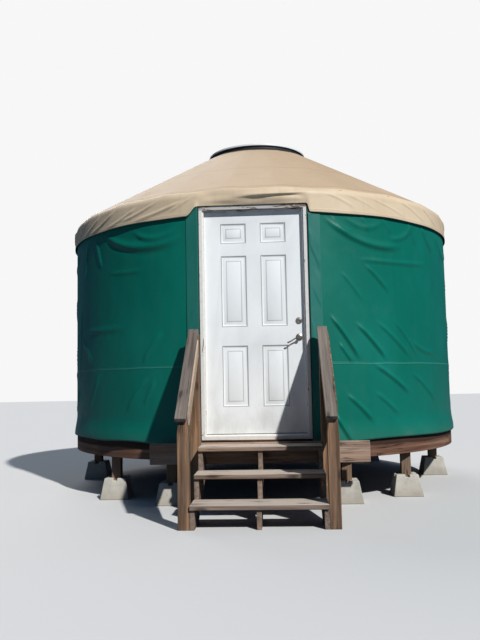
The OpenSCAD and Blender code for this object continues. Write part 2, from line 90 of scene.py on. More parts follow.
class Graph:
    def __init__(self, owner):
        owner.use_nodes = True
        self.tree = owner.node_tree
        self.tree.nodes.clear()

    # adds a node: its settings first, then the values or links of its sockets
    def node(self, kind, settings=None, sockets=None, output=0):
        made = self.tree.nodes.new(kind)
        for key, value in (settings or {}).items():
            setattr(made, key, value)
        for key, value in (sockets or {}).items():
            if isinstance(value, Wire):
                self.tree.links.new(value.socket, made.inputs[key])
            elif hasattr(value, "__len__") and len(value) == 3 and made.inputs[key].type == "RGBA":
                made.inputs[key].default_value = (*value, 1)
            else:
                made.inputs[key].default_value = value
        return Wire(self, made.outputs[output]) if made.outputs else None


class Finish(Graph):
    def __init__(self, name, **fixed):
        self.material = bpy.data.materials.new(name)
        super().__init__(self.material)
        fixed = {key.replace("_", " "): value for key, value in fixed.items()}
        shader = self.node("ShaderNodeBsdfPrincipled", sockets=fixed)
        self.shader = shader.socket.node
        self.node("ShaderNodeOutputMaterial", sockets={0: shader})

    # a value stored on the mesh: output 1 is a vector, 2 a number
    def own(self, name, output=1):
        return self.node("ShaderNodeAttribute", {"attribute_name": name}, output=output)

    def place(self):
        return self.node("ShaderNodeTexCoord", output=3)

    def flat(self):
        return self.node("ShaderNodeUVMap", {"uv_map": "flat"})

    def part(self, where, axis):
        return self.node("ShaderNodeSeparateXYZ", sockets={0: where}, output=axis)

    def stretch(self, where, by):
        return self.node("ShaderNodeMapping", sockets={"Vector": where, "Scale": by})

    # noise drawn out by its own factor along each axis
    def strands(self, where, by, *values):
        return self.noise(self.stretch(where, by), 1.0, *values)

    def noise(self, where, scale=1.0, detail=3.0, rough=0.55, twist=0.0):
        return self.node("ShaderNodeTexNoise", sockets={
            "Vector": where, "Scale": scale, "Detail": detail, "Roughness": rough, "Distortion": twist})

    def cells(self, where, scale):
        return self.node("ShaderNodeTexVoronoi", sockets={"Vector": where, "Scale": scale})

    def mix(self, share, a, b):
        return self.node("ShaderNodeMix", {"data_type": "RGBA"}, {0: share, 6: a, 7: b}, output=2)

    # lays a colour over the base by its share
    def coat(self, share, colour):
        self.base = self.mix(share, self.base, colour)

    def put(self, socket, wire):
        self.tree.links.new(wire.socket, self.shader.inputs[socket])

    # links the base, the roughness and the relief, and gives the material
    def done(self, rough, height, strength, depth):
        self.put("Base Color", self.base)
        self.put("Roughness", rough)
        self.put("Normal", self.node("ShaderNodeBump", sockets={
            "Strength": strength, "Distance": depth, "Height": height}))
        return self.material


# ---- camera, light and floor

photoCamera = {"place": (0.213, -8.363, 1.105), "yaw": -3.13, "pitch": 5.04, "roll": -1.13, "lens": 39.375}
studio = {"skyLight": 0.14, "skyColour": (0.24, 0.52, 1), "backdrop": 0.93, "sun": 3.95, "sunHeight": 42,
          "sunSide": 35, "sunSpread": 1.6, "backFill": 0.9, "backHeight": 38, "backSide": 205, "backSpread": 40,
          "floorReach": 40, "floorColour": (0.66, 0.65, 0.63), "floorBounce": (0.145, 0.165, 0.19)}


def placeCamera(c):
    yaw, pitch, roll = (radians(c[k]) for k in ("yaw", "pitch", "roll"))
    ahead = np.array([sin(yaw) * cos(pitch), cos(yaw) * cos(pitch), sin(pitch)])
    level = np.array([cos(yaw), -sin(yaw), 0])
    upright = np.cross(level, ahead)
    right = level * cos(roll) + upright * sin(roll)
    up = upright * cos(roll) - level * sin(roll)
    data = bpy.data.cameras.new("photoCamera")
    data.lens = c["lens"]
    data.sensor_width = 36
    made = bpy.data.objects.new("photoCamera", data)
    scene.collection.objects.link(made)
    turn = np.eye(4)
    turn[:3, 0], turn[:3, 1], turn[:3, 2], turn[:3, 3] = right, up, -ahead, c["place"]
    made.matrix_world = Matrix(turn.tolist())
    scene.camera = made


def lightStudio(s):
    # the camera sees a bright backdrop, and other rays find the sky's own colour
    world = bpy.data.worlds.new("studio")
    graph = Graph(world)
    sky = graph.node("ShaderNodeBackground", sockets={0: s["skyColour"], 1: s["skyLight"]})
    seen = graph.node("ShaderNodeBackground", sockets={0: (1, 1, 1), 1: s["backdrop"]})
    mixed = graph.node("ShaderNodeMixShader", sockets={0: graph.node("ShaderNodeLightPath"), 1: sky, 2: seen})
    graph.node("ShaderNodeOutputWorld", sockets={0: mixed})
    scene.world = world
    for name, strength, side, height, spread in (
        ("keyLight", s["sun"], s["sunSide"], s["sunHeight"], s["sunSpread"]),
        ("backLight", s["backFill"], s["backSide"], s["backHeight"], s["backSpread"]),
    ):
        data = bpy.data.lights.new(name, "SUN")
        data.energy = strength
        data.angle = radians(spread)
        lamp = bpy.data.objects.new(name, data)
        lamp.rotation_euler = (radians(90 - height), 0, radians(side))
        scene.collection.objects.link(lamp)


placeCamera(photoCamera)
lightStudio(studio)
print("stage: camera and lights are placed")


# ---- finishes

def woodFinish(name, **s):
    # fibres are noise stretched along the board, with rings, knots, drying cracks and a grey weathered skin
    f = Finish(name, Specular_IOR_Level=0.28)
    grain = f.own("grain")
    tone = f.own("tone", 2)
    bend = f.strands(grain, (0.7, 4, 4), 2)
    fibre = f.strands(grain, (2.2, 60, 60), 5, 0.62, 0.35)
    fine = f.strands(grain, (9, 320, 320), 3, 0.6)
    across = f.part(grain, 1) + f.part(grain, 2) * 0.45
    rings = ((across + bend * 0.05) * s["rings"] + fibre * 1.4).wave() * 0.5 + 0.5
    knot = 1 - f.cells(f.stretch(grain, (3.1, 10, 10)), s["knots"]).rise(0.05, 0.2)
    crack = 1 - (f.strands(grain, (1.1, 38, 38), 3, 0.5) - 0.5).size().rise(0.004, s["crack"])
    crack = crack * f.noise(grain, 2.6, 1).rise(0.5, 0.62)
    weather = (f.noise(grain, 3.2, 4, 0.6) + tone * 0.35).rise(0.5 - s["grey"] * 0.35, 0.95 - s["grey"] * 0.35)
    f.base = f.mix(rings * 0.6 + fibre * 0.4, s["dark"], s["light"])
    f.coat(tone * 0.55, s["warm"])
    f.coat(weather * s["grey"], f.mix(fibre, s["skinDark"], s["skin"]))
    broad = f.strands(grain, (1.2, 23, 23), 4, 0.62, 0.25)
    f.coat(broad.rise(0.5, 0.64) * s["streaky"], s["honey"])
    f.coat((1 - broad.rise(0.37, 0.49)) * s["streaky"], s["dark"])
    upward = f.part(f.node("ShaderNodeNewGeometry", output=1), 2).rise(0.5, 0.9)
    f.coat(upward * (fibre * 0.5 + 0.5) * s["sunned"], s["bleached"])
    # painted shadow: where a height is given, a dark band with a wavy lower edge runs along the top of the board,
    # standing in for the shadow that the cloth's hem casts on the rim
    if "damp" in s:
        skirtShadow = (f.part(f.place(), 2) + f.noise(grain, 3, 2) * 0.05 - 0.025).rise(s["damp"] - 0.012, s["damp"] + 0.006)
        f.coat(skirtShadow * 0.85, tuple(0.3 * c for c in s["dark"]))
    f.coat(knot * 0.75, tuple(0.4 * c for c in s["dark"]))
    f.coat(crack * 0.8, tuple(0.22 * c for c in s["dark"]))
    height = fibre * 0.5 + fine * 0.25 + rings * 0.2 - crack * 1.6 - knot * 0.3
    return f.done(0.9 - rings * 0.12 - (1 - weather) * s["polish"], height, 0.8, s["depth"])


def ashFinish(name, **s):
    # clean pale laths: fine strands along the height, warmer in broad patches
    f = Finish(name, Specular_IOR_Level=0.35)
    where = f.place()
    streaks = f.strands(where, (60, 60, 18), 5, 0.6, 0.3)
    ash = f.mix(streaks, s["dark"], s["light"])
    f.base = f.mix(f.noise(where, 7, 3) * 0.5, ash, s["warm"])
    return f.done(0.62 + streaks * 0.2, streaks, 0.5, 0.0006)


def clothFinish(name, **s):
    # coated cloth: a fine weave under a soft gloss, faded in broad patches, with welded seams along stated heights
    f = Finish(name, Specular_IOR_Level=0.3)
    flat = f.flat()
    along, drop = f.part(flat, 0), f.part(flat, 1)
    weave = (along * 2 * pi / s["thread"]).wave() * (drop * 2 * pi / s["thread"]).wave()
    fade = f.strands(flat, (0.9, 0.55, 1), 4, 0.6).rise(0.38, 0.72)
    streak = f.strands(flat, (14, 1.1, 1), 4, 0.65).rise(0.45, 0.8)
    grime = f.noise(flat, 5.5, 6, 0.7).rise(0.5, 0.78)
    f.base = f.mix(fade, s["colour"], s["faded"])
    f.coat(streak * s["streaks"], s["stain"])
    f.coat(grime * s["grime"], s["stain"])
    edge = None
    waver = f.noise(flat, 3.1, 2) * 0.02 - 0.01
    # each seam gets a raised lap and a thin line in the seam colour: on the green wall the line is lighter than the
    # cloth, a painted highlight where the weld's edge catches light; on the roof and valance it is a darker joint
    for height in s["seams"]:
        away = (drop - height + waver).size()
        lap = 1 - away.rise(0.011, 0.014)
        line = 1 - away.rise(0.002, 0.006)
        f.coat(line * s["seamShow"], s["seam"])
        edge = edge.larger(lap) if edge else lap
    # painted shadow: a near-black band with a wavy edge along the cloth's inner edge, where the skylight's rim shades
    # the roof
    if "collar" in s:
        f.coat(1 - (drop + waver * 2).rise(s["collar"] - 0.008, s["collar"]), s["collarColour"])
    low = 1 - drop.rise(s["splashTop"] - 0.22, s["splashTop"])
    f.coat(low * (grime * 0.7 + 0.3) * s["splash"], s["mud"])
    height = weave * 0.12 + f.noise(flat, 38, 3, 0.5) * 0.35
    if edge:
        height = height + edge * 1.2
    return f.done(s["rough"] + fade * 0.08 + grime * 0.12, height, 0.55, 0.0012)


def concreteFinish(name, **s):
    f = Finish(name, Specular_IOR_Level=0.3)
    where = f.place()
    cloud = f.noise(where, 6, 6, 0.6)
    grit = f.noise(where, 120, 3, 0.6)
    pits = 1 - f.cells(where, 45).rise(0.05, 0.17)
    damp = 1 - f.part(where, 2).rise(0.0, 0.12)
    f.base = f.mix(cloud.rise(0.3, 0.7), s["dark"], s["light"])
    f.coat(pits * 0.5, s["pit"])
    f.coat(damp * (cloud * 0.8), s["earth"])
    return f.done(0.96 - cloud * 0.1, cloud * 0.5 + grit * 0.25 - pits * 0.8, 0.8, 0.003)


def frameFinish(name, **s):
    # old paint on wood: flakes are noise over a threshold, longer along the board, with bare wood and dirt in them
    f = Finish(name, Specular_IOR_Level=0.4)
    grain = f.own("grain")
    flake = f.strands(grain, (7, 26, 26), 6, 0.68, 0.5)
    patch = f.noise(grain, 3.1, 2)
    bare = (flake + patch * 0.22).rise(s["bare"], s["bare"] + 0.035)
    fibre = f.strands(grain, (3, 90, 90), 4, 0.6)
    wood = f.mix(fibre, s["woodDark"], s["wood"])
    dirt = f.noise(grain, 24, 5, 0.7).rise(0.5, 0.75)
    paint = f.mix(dirt * 0.5, s["paint"], s["dirt"])
    f.base = f.mix(bare, paint, wood)
    return f.done(0.5 + bare * 0.35 + dirt * 0.15, (1 - bare) * 1.0 + fibre * 0.3, 0.8, 0.0012)


def doorFinish(name, **s):
    # a painted skin with a faint pressed grain, grubby low down and in broad smears
    f = Finish(name, Specular_IOR_Level=0.45)
    where = f.place()
    grain = f.strands(where, (150, 60, 5), 4, 0.6, 0.4)
    smear = f.strands(where, (3, 3, 1.2), 5, 0.65)
    low = 1 - f.part(where, 2).rise(0.62, 1.25)
    grub = (smear.rise(0.42, 0.75) * 0.5 + low * smear.rise(0.3, 0.7))
    speck = f.noise(where, 90, 3, 0.6).rise(0.66, 0.74)
    f.base = f.mix(grub * s["grub"], s["paint"], s["grime"])
    f.coat(speck * 0.25, s["grime"])
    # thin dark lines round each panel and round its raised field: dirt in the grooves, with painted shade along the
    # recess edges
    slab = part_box("door_slab")
    foot, tall = slab[0][2], slab[1][2] - slab[0][2]
    sideways = (f.part(where, 0).size() - s["column"]).size() - s["panelWidth"] / 2
    for low, high in s["rows"]:
        upward = (f.part(where, 2) - (foot + (low + high) / 2 * tall)).size() - (high - low) / 2 * tall
        away = sideways.larger(upward)
        for place, share in ((0.0, 0.75), (-0.046, 0.5)):
            line = 1 - (away - place).size().rise(0.0015, 0.006)
            f.coat(line * (smear * 0.8 + 0.5) * share, s["groove"])
    return f.done(0.42 + smear * 0.18, grain, 0.25, 0.0006)


def metalFinish(name, **s):
    f = Finish(name)
    where = f.place()
    tarnish = f.noise(where, s["scale"], 6, 0.65).rise(0.42, 0.7)
    scratch = f.strands(where, (900, 40, 900), 2)
    f.base = f.mix(tarnish, s["clean"], s["tarnish"])
    f.put("Metallic", s["metal"] - tarnish * s["dull"])
    return f.done(s["rough"] + tarnish * 0.25 + scratch * 0.06, scratch + tarnish, 0.2, 0.0003)


def plainFinish(name, **s):
    # moulded or painted surfaces: a broad dusting and a fine mottle over one colour
    f = Finish(name, Specular_IOR_Level=0.45)
    where = f.place()
    dust = f.noise(where, s["scale"], 5, 0.65).rise(0.4, 0.75)
    mottle = f.noise(where, s["scale"] * 22, 3)
    f.base = f.mix(dust * s["dusty"], s["colour"], s["dust"])
    return f.done(s["rough"] + dust * 0.18 + mottle * 0.05, mottle + dust * 0.4, 0.3, 0.0005)


def domeFinish(name, **s):
    # clear acrylic gone slightly milky: mostly see-through, dusty towards its edge
    f = Finish(name, Specular_IOR_Level=0.5, IOR=1.49)
    where = f.place()
    dust = f.noise(where, 7, 5, 0.65).rise(0.35, 0.75)
    f.put("Base Color", f.mix(dust * 0.5, s["colour"], s["dust"]))
    f.put("Roughness", 0.08 + dust * 0.3)
    f.put("Alpha", s["clear"] + dust * 0.25)
    return f.material


def floorFinish(name, **s):
    # the camera sees a pale floor, and other rays find it darker, so that it throws less light up
    f = Finish(name, Specular_IOR_Level=0.1, Roughness=0.9)
    seen = f.node("ShaderNodeLightPath")
    f.put("Base Color", f.mix(seen, s["floorBounce"], s["floorColour"]))
    return f.material


weatheredWood = {"light": (0.25, 0.17, 0.115), "dark": (0.085, 0.052, 0.034), "warm": (0.23, 0.135, 0.08),
                 "skin": (0.34, 0.29, 0.25), "skinDark": (0.13, 0.105, 0.09), "grey": 0.5, "rings": 420,
                 "knots": 0.55, "crack": 0.022, "polish": 0.1, "depth": 0.0028, "sunned": 0.0,
                 "bleached": (0.46, 0.4, 0.34), "streaky": 0.1, "honey": (0.5, 0.34, 0.2)}


canvasCloth = {"thread": 0.0042, "splashTop": 0.72, "splash": 0.45, "mud": (0.14, 0.19, 0.14)}
vinylCloth = {"thread": 0.004, "splashTop": -1, "splash": 0, "mud": (0.3, 0.25, 0.2)}


def boardFinish(name, **changes):
    return woodFinish(name, **{**weatheredWood, **changes})


finishes = {
    "treads": boardFinish("weatheredTreads", light=(0.36, 0.25, 0.175), sunned=0.85, streaky=0.5,
        honey=(0.42, 0.29, 0.2), knots=0.8, bleached=(0.68, 0.59, 0.5)),
    "rails": boardFinish("weatheredRails", light=(0.21, 0.165, 0.13), grey=0.8, streaky=0.6,
        honey=(0.27, 0.225, 0.185), knots=0.9, dark=(0.05, 0.036, 0.03), skin=(0.2, 0.172, 0.155)),
    "posts": boardFinish("sunnyPosts", light=(0.255, 0.15, 0.083), dark=(0.08, 0.045, 0.026),
        warm=(0.27, 0.135, 0.062), skin=(0.235, 0.168, 0.122), grey=0.4, rings=105, streaky=0.75,
        honey=(0.4, 0.225, 0.115), knots=1.0),
    "stretchers": boardFinish("paleStretchers", light=(0.56, 0.44, 0.33), rings=90, dark=(0.28, 0.19, 0.125),
        warm=(0.52, 0.36, 0.24), skin=(0.58, 0.5, 0.42), grey=0.5, streaky=0.6, honey=(0.62, 0.42, 0.26)),
    # the rim's top 85 mm is darkened as a painted shadow of the wall cloth's hem
    "rim": boardFinish("redRim", light=(0.23, 0.115, 0.065), dark=(0.08, 0.036, 0.022), warm=(0.21, 0.088, 0.046),
        grey=0.3, skin=(0.27, 0.19, 0.145), rings=240, damp=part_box("rim_boards")[1][2] - 0.085, streaky=0.5,
        honey=(0.36, 0.19, 0.105)),
    "ledger": boardFinish("redLedger", light=(0.54, 0.38, 0.27), dark=(0.19, 0.11, 0.07), warm=(0.46, 0.25, 0.15),
        grey=0.5, skin=(0.56, 0.46, 0.39), streaky=0.45, honey=(0.6, 0.36, 0.22)),
    "framing": boardFinish("framingTimber", light=(0.33, 0.22, 0.13), grey=0.25, knots=0.7),
    "floor": boardFinish("floorBoards", light=(0.6, 0.42, 0.25), dark=(0.36, 0.22, 0.115), warm=(0.55, 0.33, 0.17),
        grey=0.1, polish=0.3, rings=260, crack=0.007, depth=0.0008),
    "latticeAsh": ashFinish("latticeAsh", light=(0.64, 0.455, 0.28), dark=(0.4, 0.255, 0.14),
        warm=(0.55, 0.34, 0.18)),
    "rafters": boardFinish("rafterTimber", light=(0.64, 0.46, 0.29), dark=(0.44, 0.28, 0.155),
        warm=(0.6, 0.38, 0.2), grey=0.06, polish=0.2, rings=220, crack=0.006, depth=0.0008),
    # the wall's seam colour is lighter than the cloth: a painted highlight along the weld's edge
    "wallCloth": clothFinish("greenCanvas", colour=(0.0005, 0.143, 0.099), faded=(0.002, 0.178, 0.13),
        stain=(0.03, 0.15, 0.12), streaks=0.14, grime=0.1, seams=[1.252], seam=(0.12, 0.36, 0.3), seamShow=0.4,
        rough=0.36, **canvasCloth),
    "stripCloth": clothFinish("greenStrip", colour=(0.012, 0.158, 0.122), faded=(0.028, 0.185, 0.152),
        stain=(0.06, 0.17, 0.145), streaks=0.2, grime=0.14, seams=[], rough=0.4, **canvasCloth),
    # the roof's inner 85 mm is darkened as a painted shadow under the skylight's rim
    "roofCloth": clothFinish("tanVinyl", colour=(0.51, 0.37, 0.235), faded=(0.585, 0.44, 0.29),
        stain=(0.38, 0.27, 0.165), streaks=0.14, grime=0.2, seams=[0.95, 1.69], seam=(0.27, 0.18, 0.11),
        seamShow=0.8, collar=0.085, collarColour=(0.022, 0.019, 0.016), rough=0.5, **vinylCloth),
    "valanceCloth": clothFinish("tanValance", colour=(0.66, 0.515, 0.345), faded=(0.73, 0.59, 0.41),
        stain=(0.45, 0.33, 0.215), streaks=0.24, grime=0.3, seams=[-0.196], seam=(0.46, 0.34, 0.22), seamShow=0.4,
        rough=0.44, **vinylCloth),
    "concrete": concreteFinish("castBlocks", light=(0.58, 0.54, 0.46), dark=(0.4, 0.375, 0.32),
        pit=(0.22, 0.21, 0.2), earth=(0.35, 0.28, 0.2)),
    "frame": frameFinish("peelingPaint", bare=0.74, paint=(0.76, 0.74, 0.69), dirt=(0.48, 0.44, 0.38),
        wood=(0.34, 0.24, 0.16), woodDark=(0.13, 0.09, 0.06)),
    "head": frameFinish("peelingHead", bare=0.63, paint=(0.52, 0.49, 0.46), dirt=(0.24, 0.21, 0.18),
        wood=(0.26, 0.19, 0.14), woodDark=(0.08, 0.055, 0.04)),
    # the door's panels: their columns' distance from the middle, width, and heights as shares of the door's
    "door": doorFinish("whiteDoor", paint=(0.89, 0.905, 0.89), grime=(0.46, 0.45, 0.41), grub=0.4,
        # groove is the colour of the dark lines round the panels: dirt with painted shade
        groove=(0.13, 0.13, 0.125), column=0.182, panelWidth=0.226,
        rows=[(0.12, 0.387), (0.4755, 0.793), (0.854, 0.9405)]),
    "hinge": metalFinish("hingeSteel", clean=(0.62, 0.58, 0.5), tarnish=(0.3, 0.26, 0.21), rough=0.35, scale=60,
        metal=1.0, dull=0.4),
    "lock": metalFinish("lockNickel", clean=(0.52, 0.48, 0.42), tarnish=(0.16, 0.13, 0.1), rough=0.28, scale=80,
        metal=1.0, dull=0.3),
    "cable": metalFinish("cableSteel", clean=(0.6, 0.6, 0.58), tarnish=(0.35, 0.34, 0.32), rough=0.4, scale=30,
        metal=1.0, dull=0.3),
    "screw": metalFinish("screwHeads", clean=(0.4, 0.39, 0.36), tarnish=(0.2, 0.11, 0.06), rough=0.45, scale=40,
        metal=0.9, dull=0.6),
    "curb": plainFinish("curbBlack", colour=(0.014, 0.014, 0.015), dust=(0.09, 0.085, 0.08), dusty=0.5, scale=5,
        rough=0.55),
    "rimWhite": plainFinish("whiteRim", colour=(0.78, 0.79, 0.78), dust=(0.5, 0.47, 0.42), dusty=0.15, scale=6,
        rough=0.35),
    "gasket": plainFinish("darkGasket", colour=(0.02, 0.02, 0.02), dust=(0.1, 0.1, 0.09), dusty=0.5, scale=12,
        rough=0.7),
    "dome": domeFinish("skylightDome", colour=(0.8, 0.86, 0.88), dust=(0.62, 0.62, 0.58), clear=0.32),
    "floorStage": floorFinish("studioFloor", **studio),
}
print("stage: finishes are made")


# ---- mesh helpers

def newPiece(name, mesh, finish, body="yurt", replaced=(), smooth=None):
    made = bpy.data.objects.new(name, mesh)
    scene.collection.objects.link(made)
    mesh.materials.append(finishes[finish])
    if smooth is not None:
        mesh.polygons.foreach_set("use_smooth", np.ones(len(mesh.polygons), bool))
        mesh.set_sharp_from_angle(angle=radians(smooth))
    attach(made, body)
    if replaced:
        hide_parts(*replaced)
    return made


def modifier(piece, kind, **settings):
    made = piece.modifiers.new(kind.lower(), kind)
    for key, value in settings.items():
        setattr(made, key, value)
    return made


# a grid of points (rows, columns, 3) as quads; wrap joins the last column to the first
def gridMesh(name, points, flat=None, wrap=False, flip=False):
    rows, cols = points.shape[:2]
    index = np.arange(rows * cols).reshape(rows, cols)
    if wrap:
        index = np.concatenate([index, index[:, :1]], axis=1)
    a, b, c, d = index[:-1, :-1], index[:-1, 1:], index[1:, 1:], index[1:, :-1]
    quads = np.stack([a, b, c, d] if not flip else [d, c, b, a], axis=-1).reshape(-1, 4)
    mesh = bpy.data.meshes.new(name)
    mesh.vertices.add(rows * cols)
    mesh.vertices.foreach_set("co", points.reshape(-1).astype(np.float32))
    mesh.loops.add(quads.size)
    mesh.loops.foreach_set("vertex_index", quads.reshape(-1).astype(np.int32))
    mesh.polygons.add(len(quads))
    mesh.polygons.foreach_set("loop_start", np.arange(0, quads.size, 4, dtype=np.int32))
    mesh.update(calc_edges=True)
    if flat is not None:
        layer = mesh.uv_layers.new(name="flat")
        layer.data.foreach_set("uv", flat.reshape(-1, 2)[quads.reshape(-1)].reshape(-1).astype(np.float32))
    mesh.polygons.foreach_set("use_smooth", np.ones(len(quads), bool))
    return mesh


# joins several (points, faces) sets into one mesh
def joinedMesh(name, shapes):
    points, faces, start = [], [], 0
    for p, f in shapes:
        points.append(np.asarray(p, float))
        faces += [[int(i) + start for i in face] for face in f]
        start += len(p)
    mesh = bpy.data.meshes.new(name)
    mesh.from_pydata(np.concatenate(points).tolist(), [], faces)
    mesh.update()
    return mesh


def cleaned(mesh, reach=1e-6):
    work = bmesh.new()
    work.from_mesh(mesh)
    bmesh.ops.remove_doubles(work, verts=work.verts, dist=reach)
    bmesh.ops.dissolve_degenerate(work, edges=work.edges, dist=1e-6)
    bmesh.ops.recalc_face_normals(work, faces=work.faces)
    work.to_mesh(mesh)
    work.free()
    return mesh


# gives a CAD node that keeps its own mesh a finish
def dress(node, finish):
    mesh = cadNodes[node].data
    mesh.materials.clear()
    mesh.materials.append(finishes[finish])


# rings of points (rings, sides, 3) as one closed shape: capped at both ends, or joined from end to start
def stacked(rings, joined=False):
    index = np.arange(rings.shape[0] * rings.shape[1]).reshape(rings.shape[:2])
    near, far = (index, np.roll(index, -1, 0)) if joined else (index[:-1], index[1:])
    faces = np.stack([near, np.roll(near, -1, 1), np.roll(far, -1, 1), far], -1).reshape(-1, 4).tolist()
    if not joined:
        faces += [index[0][::-1].tolist(), index[-1].tolist()]
    return rings.reshape(-1, 3), faces


# a board with its outline given in the plane of (y, z), from x0 to x1
def sideBoard(outline, x0, x1):
    return stacked(np.array([[(x, y, z) for y, z in outline] for x in (x0, x1)], float))


def boxShape(low, high):
    (x0, y0, z0), (x1, y1, z1) = low, high
    return sideBoard([(y0, z0), (y1, z0), (y1, z1), (y0, z1)], x0, x1)


# a piece made of several closed shapes
def builtPiece(name, shapes, finish, body="yurt", replaced=(), smooth=None):
    return newPiece(name, cleaned(joinedMesh(name, shapes)), finish, body, replaced, smooth)


# a sheet of cloth with a thickness, from a grid of points
def clothPiece(name, points, flat, finish, covers, thickness, offset, **grid):
    piece = newPiece(name, gridMesh(name, points, flat, **grid), finish, "yurt", covers)
    modifier(piece, "SOLIDIFY", thickness=thickness, offset=offset)
    return piece


# numbers the loose pieces of a mesh, one number for each point
def looseParts(mesh):
    edges = np.empty(len(mesh.edges) * 2, int)
    mesh.edges.foreach_get("vertices", edges)
    a, b = edges.reshape(-1, 2).T
    label = np.arange(len(mesh.vertices))
    while True:
        low = np.minimum(label[a], label[b])
        after = label.copy()
        np.minimum.at(after, a, low)
        np.minimum.at(after, b, low)
        after = after[after]
        if (after == label).all():
            return label
        label = after


# stores each point's place along and across its own board, and one random tone for each board
def addGrain(mesh, seed, way="board"):
    points = np.empty(len(mesh.vertices) * 3)
    mesh.vertices.foreach_get("co", points)
    points = points.reshape(-1, 3)
    label = looseParts(mesh)
    rng = np.random.default_rng(seed)
    grain, tone = np.zeros_like(points), np.zeros(len(points))
    for part in np.unique(label):
        own = label == part
        p = points[own]
        if way == "arc":
            radius = np.hypot(p[:, 0], p[:, 1])
            angle = np.arctan2(p[:, 0], -p[:, 1])
            local = np.stack([angle * radius.mean(), radius, p[:, 2]], axis=1)
        else:
            middle = p - p.mean(axis=0)
            turn = np.linalg.svd(middle, full_matrices=False)[2]
            local = middle @ turn.T
        grain[own] = local + rng.uniform(3, 30, 3)
        tone[own] = rng.uniform(0, 1)
    for name, kind, field, values in (("grain", "FLOAT_VECTOR", "vector", grain), ("tone", "FLOAT", "value", tone)):
        stored = mesh.attributes.new(name, kind, "POINT")
        stored.data.foreach_set(field, values.reshape(-1).astype(np.float32))


def rounded(piece, width):
    modifier(piece, "BEVEL", width=width, segments=2, limit_method="ANGLE", angle_limit=radians(35),
             use_clamp_overlap=True)


# a worn copy of a CAD node: its points merged, its flat faces joined and its edges rounded
def wornCopy(node, finish, edge, way="board", seed=1, body="yurt"):
    work = bmesh.new()
    work.from_mesh(cadNodes[node].data)
    bmesh.ops.remove_doubles(work, verts=work.verts, dist=2e-5)
    bmesh.ops.dissolve_limit(work, angle_limit=radians(0.5), verts=work.verts, edges=work.edges)
    mesh = bpy.data.meshes.new(node + "Worn")
    work.to_mesh(mesh)
    work.free()
    mesh.update()
    addGrain(mesh, seed, way)
    piece = newPiece(node + "Worn", mesh, finish, body, [node], smooth=30)
    rounded(piece, edge)


# smooth random heights: random values on whole-number points, eased between them
def ripple(u, v, seed):
    table = np.random.default_rng(seed).uniform(-1, 1, (256, 256))
    iu, iv = np.floor(u).astype(int), np.floor(v).astype(int)
    fu, fv = u - iu, v - iv
    fu, fv = fu * fu * (3 - 2 * fu), fv * fv * (3 - 2 * fv)
    pick = lambda a, b: table[(iu + a) & 255, (iv + b) & 255]
    return (pick(0, 0) * (1 - fu) + pick(1, 0) * fu) * (1 - fv) + (pick(0, 1) * (1 - fu) + pick(1, 1) * fu) * fv


def ease(x):
    x = np.clip(x, 0, 1)
    return x * x * (3 - 2 * x)


# folds of cloth: each runs from one point to another in the flat cloth, bowed sideways, as a ridge with a
# hollow beside it that dies away at both ends. Rows are along0, up0, along1, up1, bow, width, height.
def foldHeights(along, up, rows):
    total = np.zeros_like(along)
    for a0, u0, a1, u1, bow, width, height in rows:
        da, du = a1 - a0, u1 - u0
        length = hypot(da, du)
        t = ((along - a0) * da + (up - u0) * du) / length ** 2
        side = ((up - u0) * da - (along - a0) * du) / length - bow * 4 * t * (1 - t)
        w = side / (width * (0.75 + 0.5 * np.clip(t, 0, 1)))
        total += height * np.exp(-w * w) * (1 + 0.9 * w - 0.35 * w * w) * ease(t / 0.25) * ease((1 - t) / 0.3)
    return total


# where the flat cloth's (angle, height, radius) lands: angle 0 is the door's middle, positive towards +X
def onRound(angle, height, radius):
    return np.stack([radius * np.sin(angle), -radius * np.cos(angle), height], axis=-1)


# ---- the shell's main measures, read from the frame

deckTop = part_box("floor_deck")[1][2]
coverLow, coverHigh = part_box("wall_cover_left")[0][2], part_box("wall_cover_left")[1][2]
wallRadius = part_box("wall_cover_left")[0][0] * -1
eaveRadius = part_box("valance")[1][1]
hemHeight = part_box("valance")[0][2]
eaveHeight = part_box("valance")[1][2]
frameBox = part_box("door_head")
frameHalf = frameBox[1][0]
frameFront = frameBox[0][1]
frameTop = frameBox[1][2]
roofInner = 0.572
roofPitch = radians(30)
doorAngle = asin((frameHalf + 0.0006) / wallRadius)
rafterCount = 24


def coneHeight(radius):
    return eaveHeight + (eaveRadius - radius) * tan(roofPitch)


# ---- wall cloth

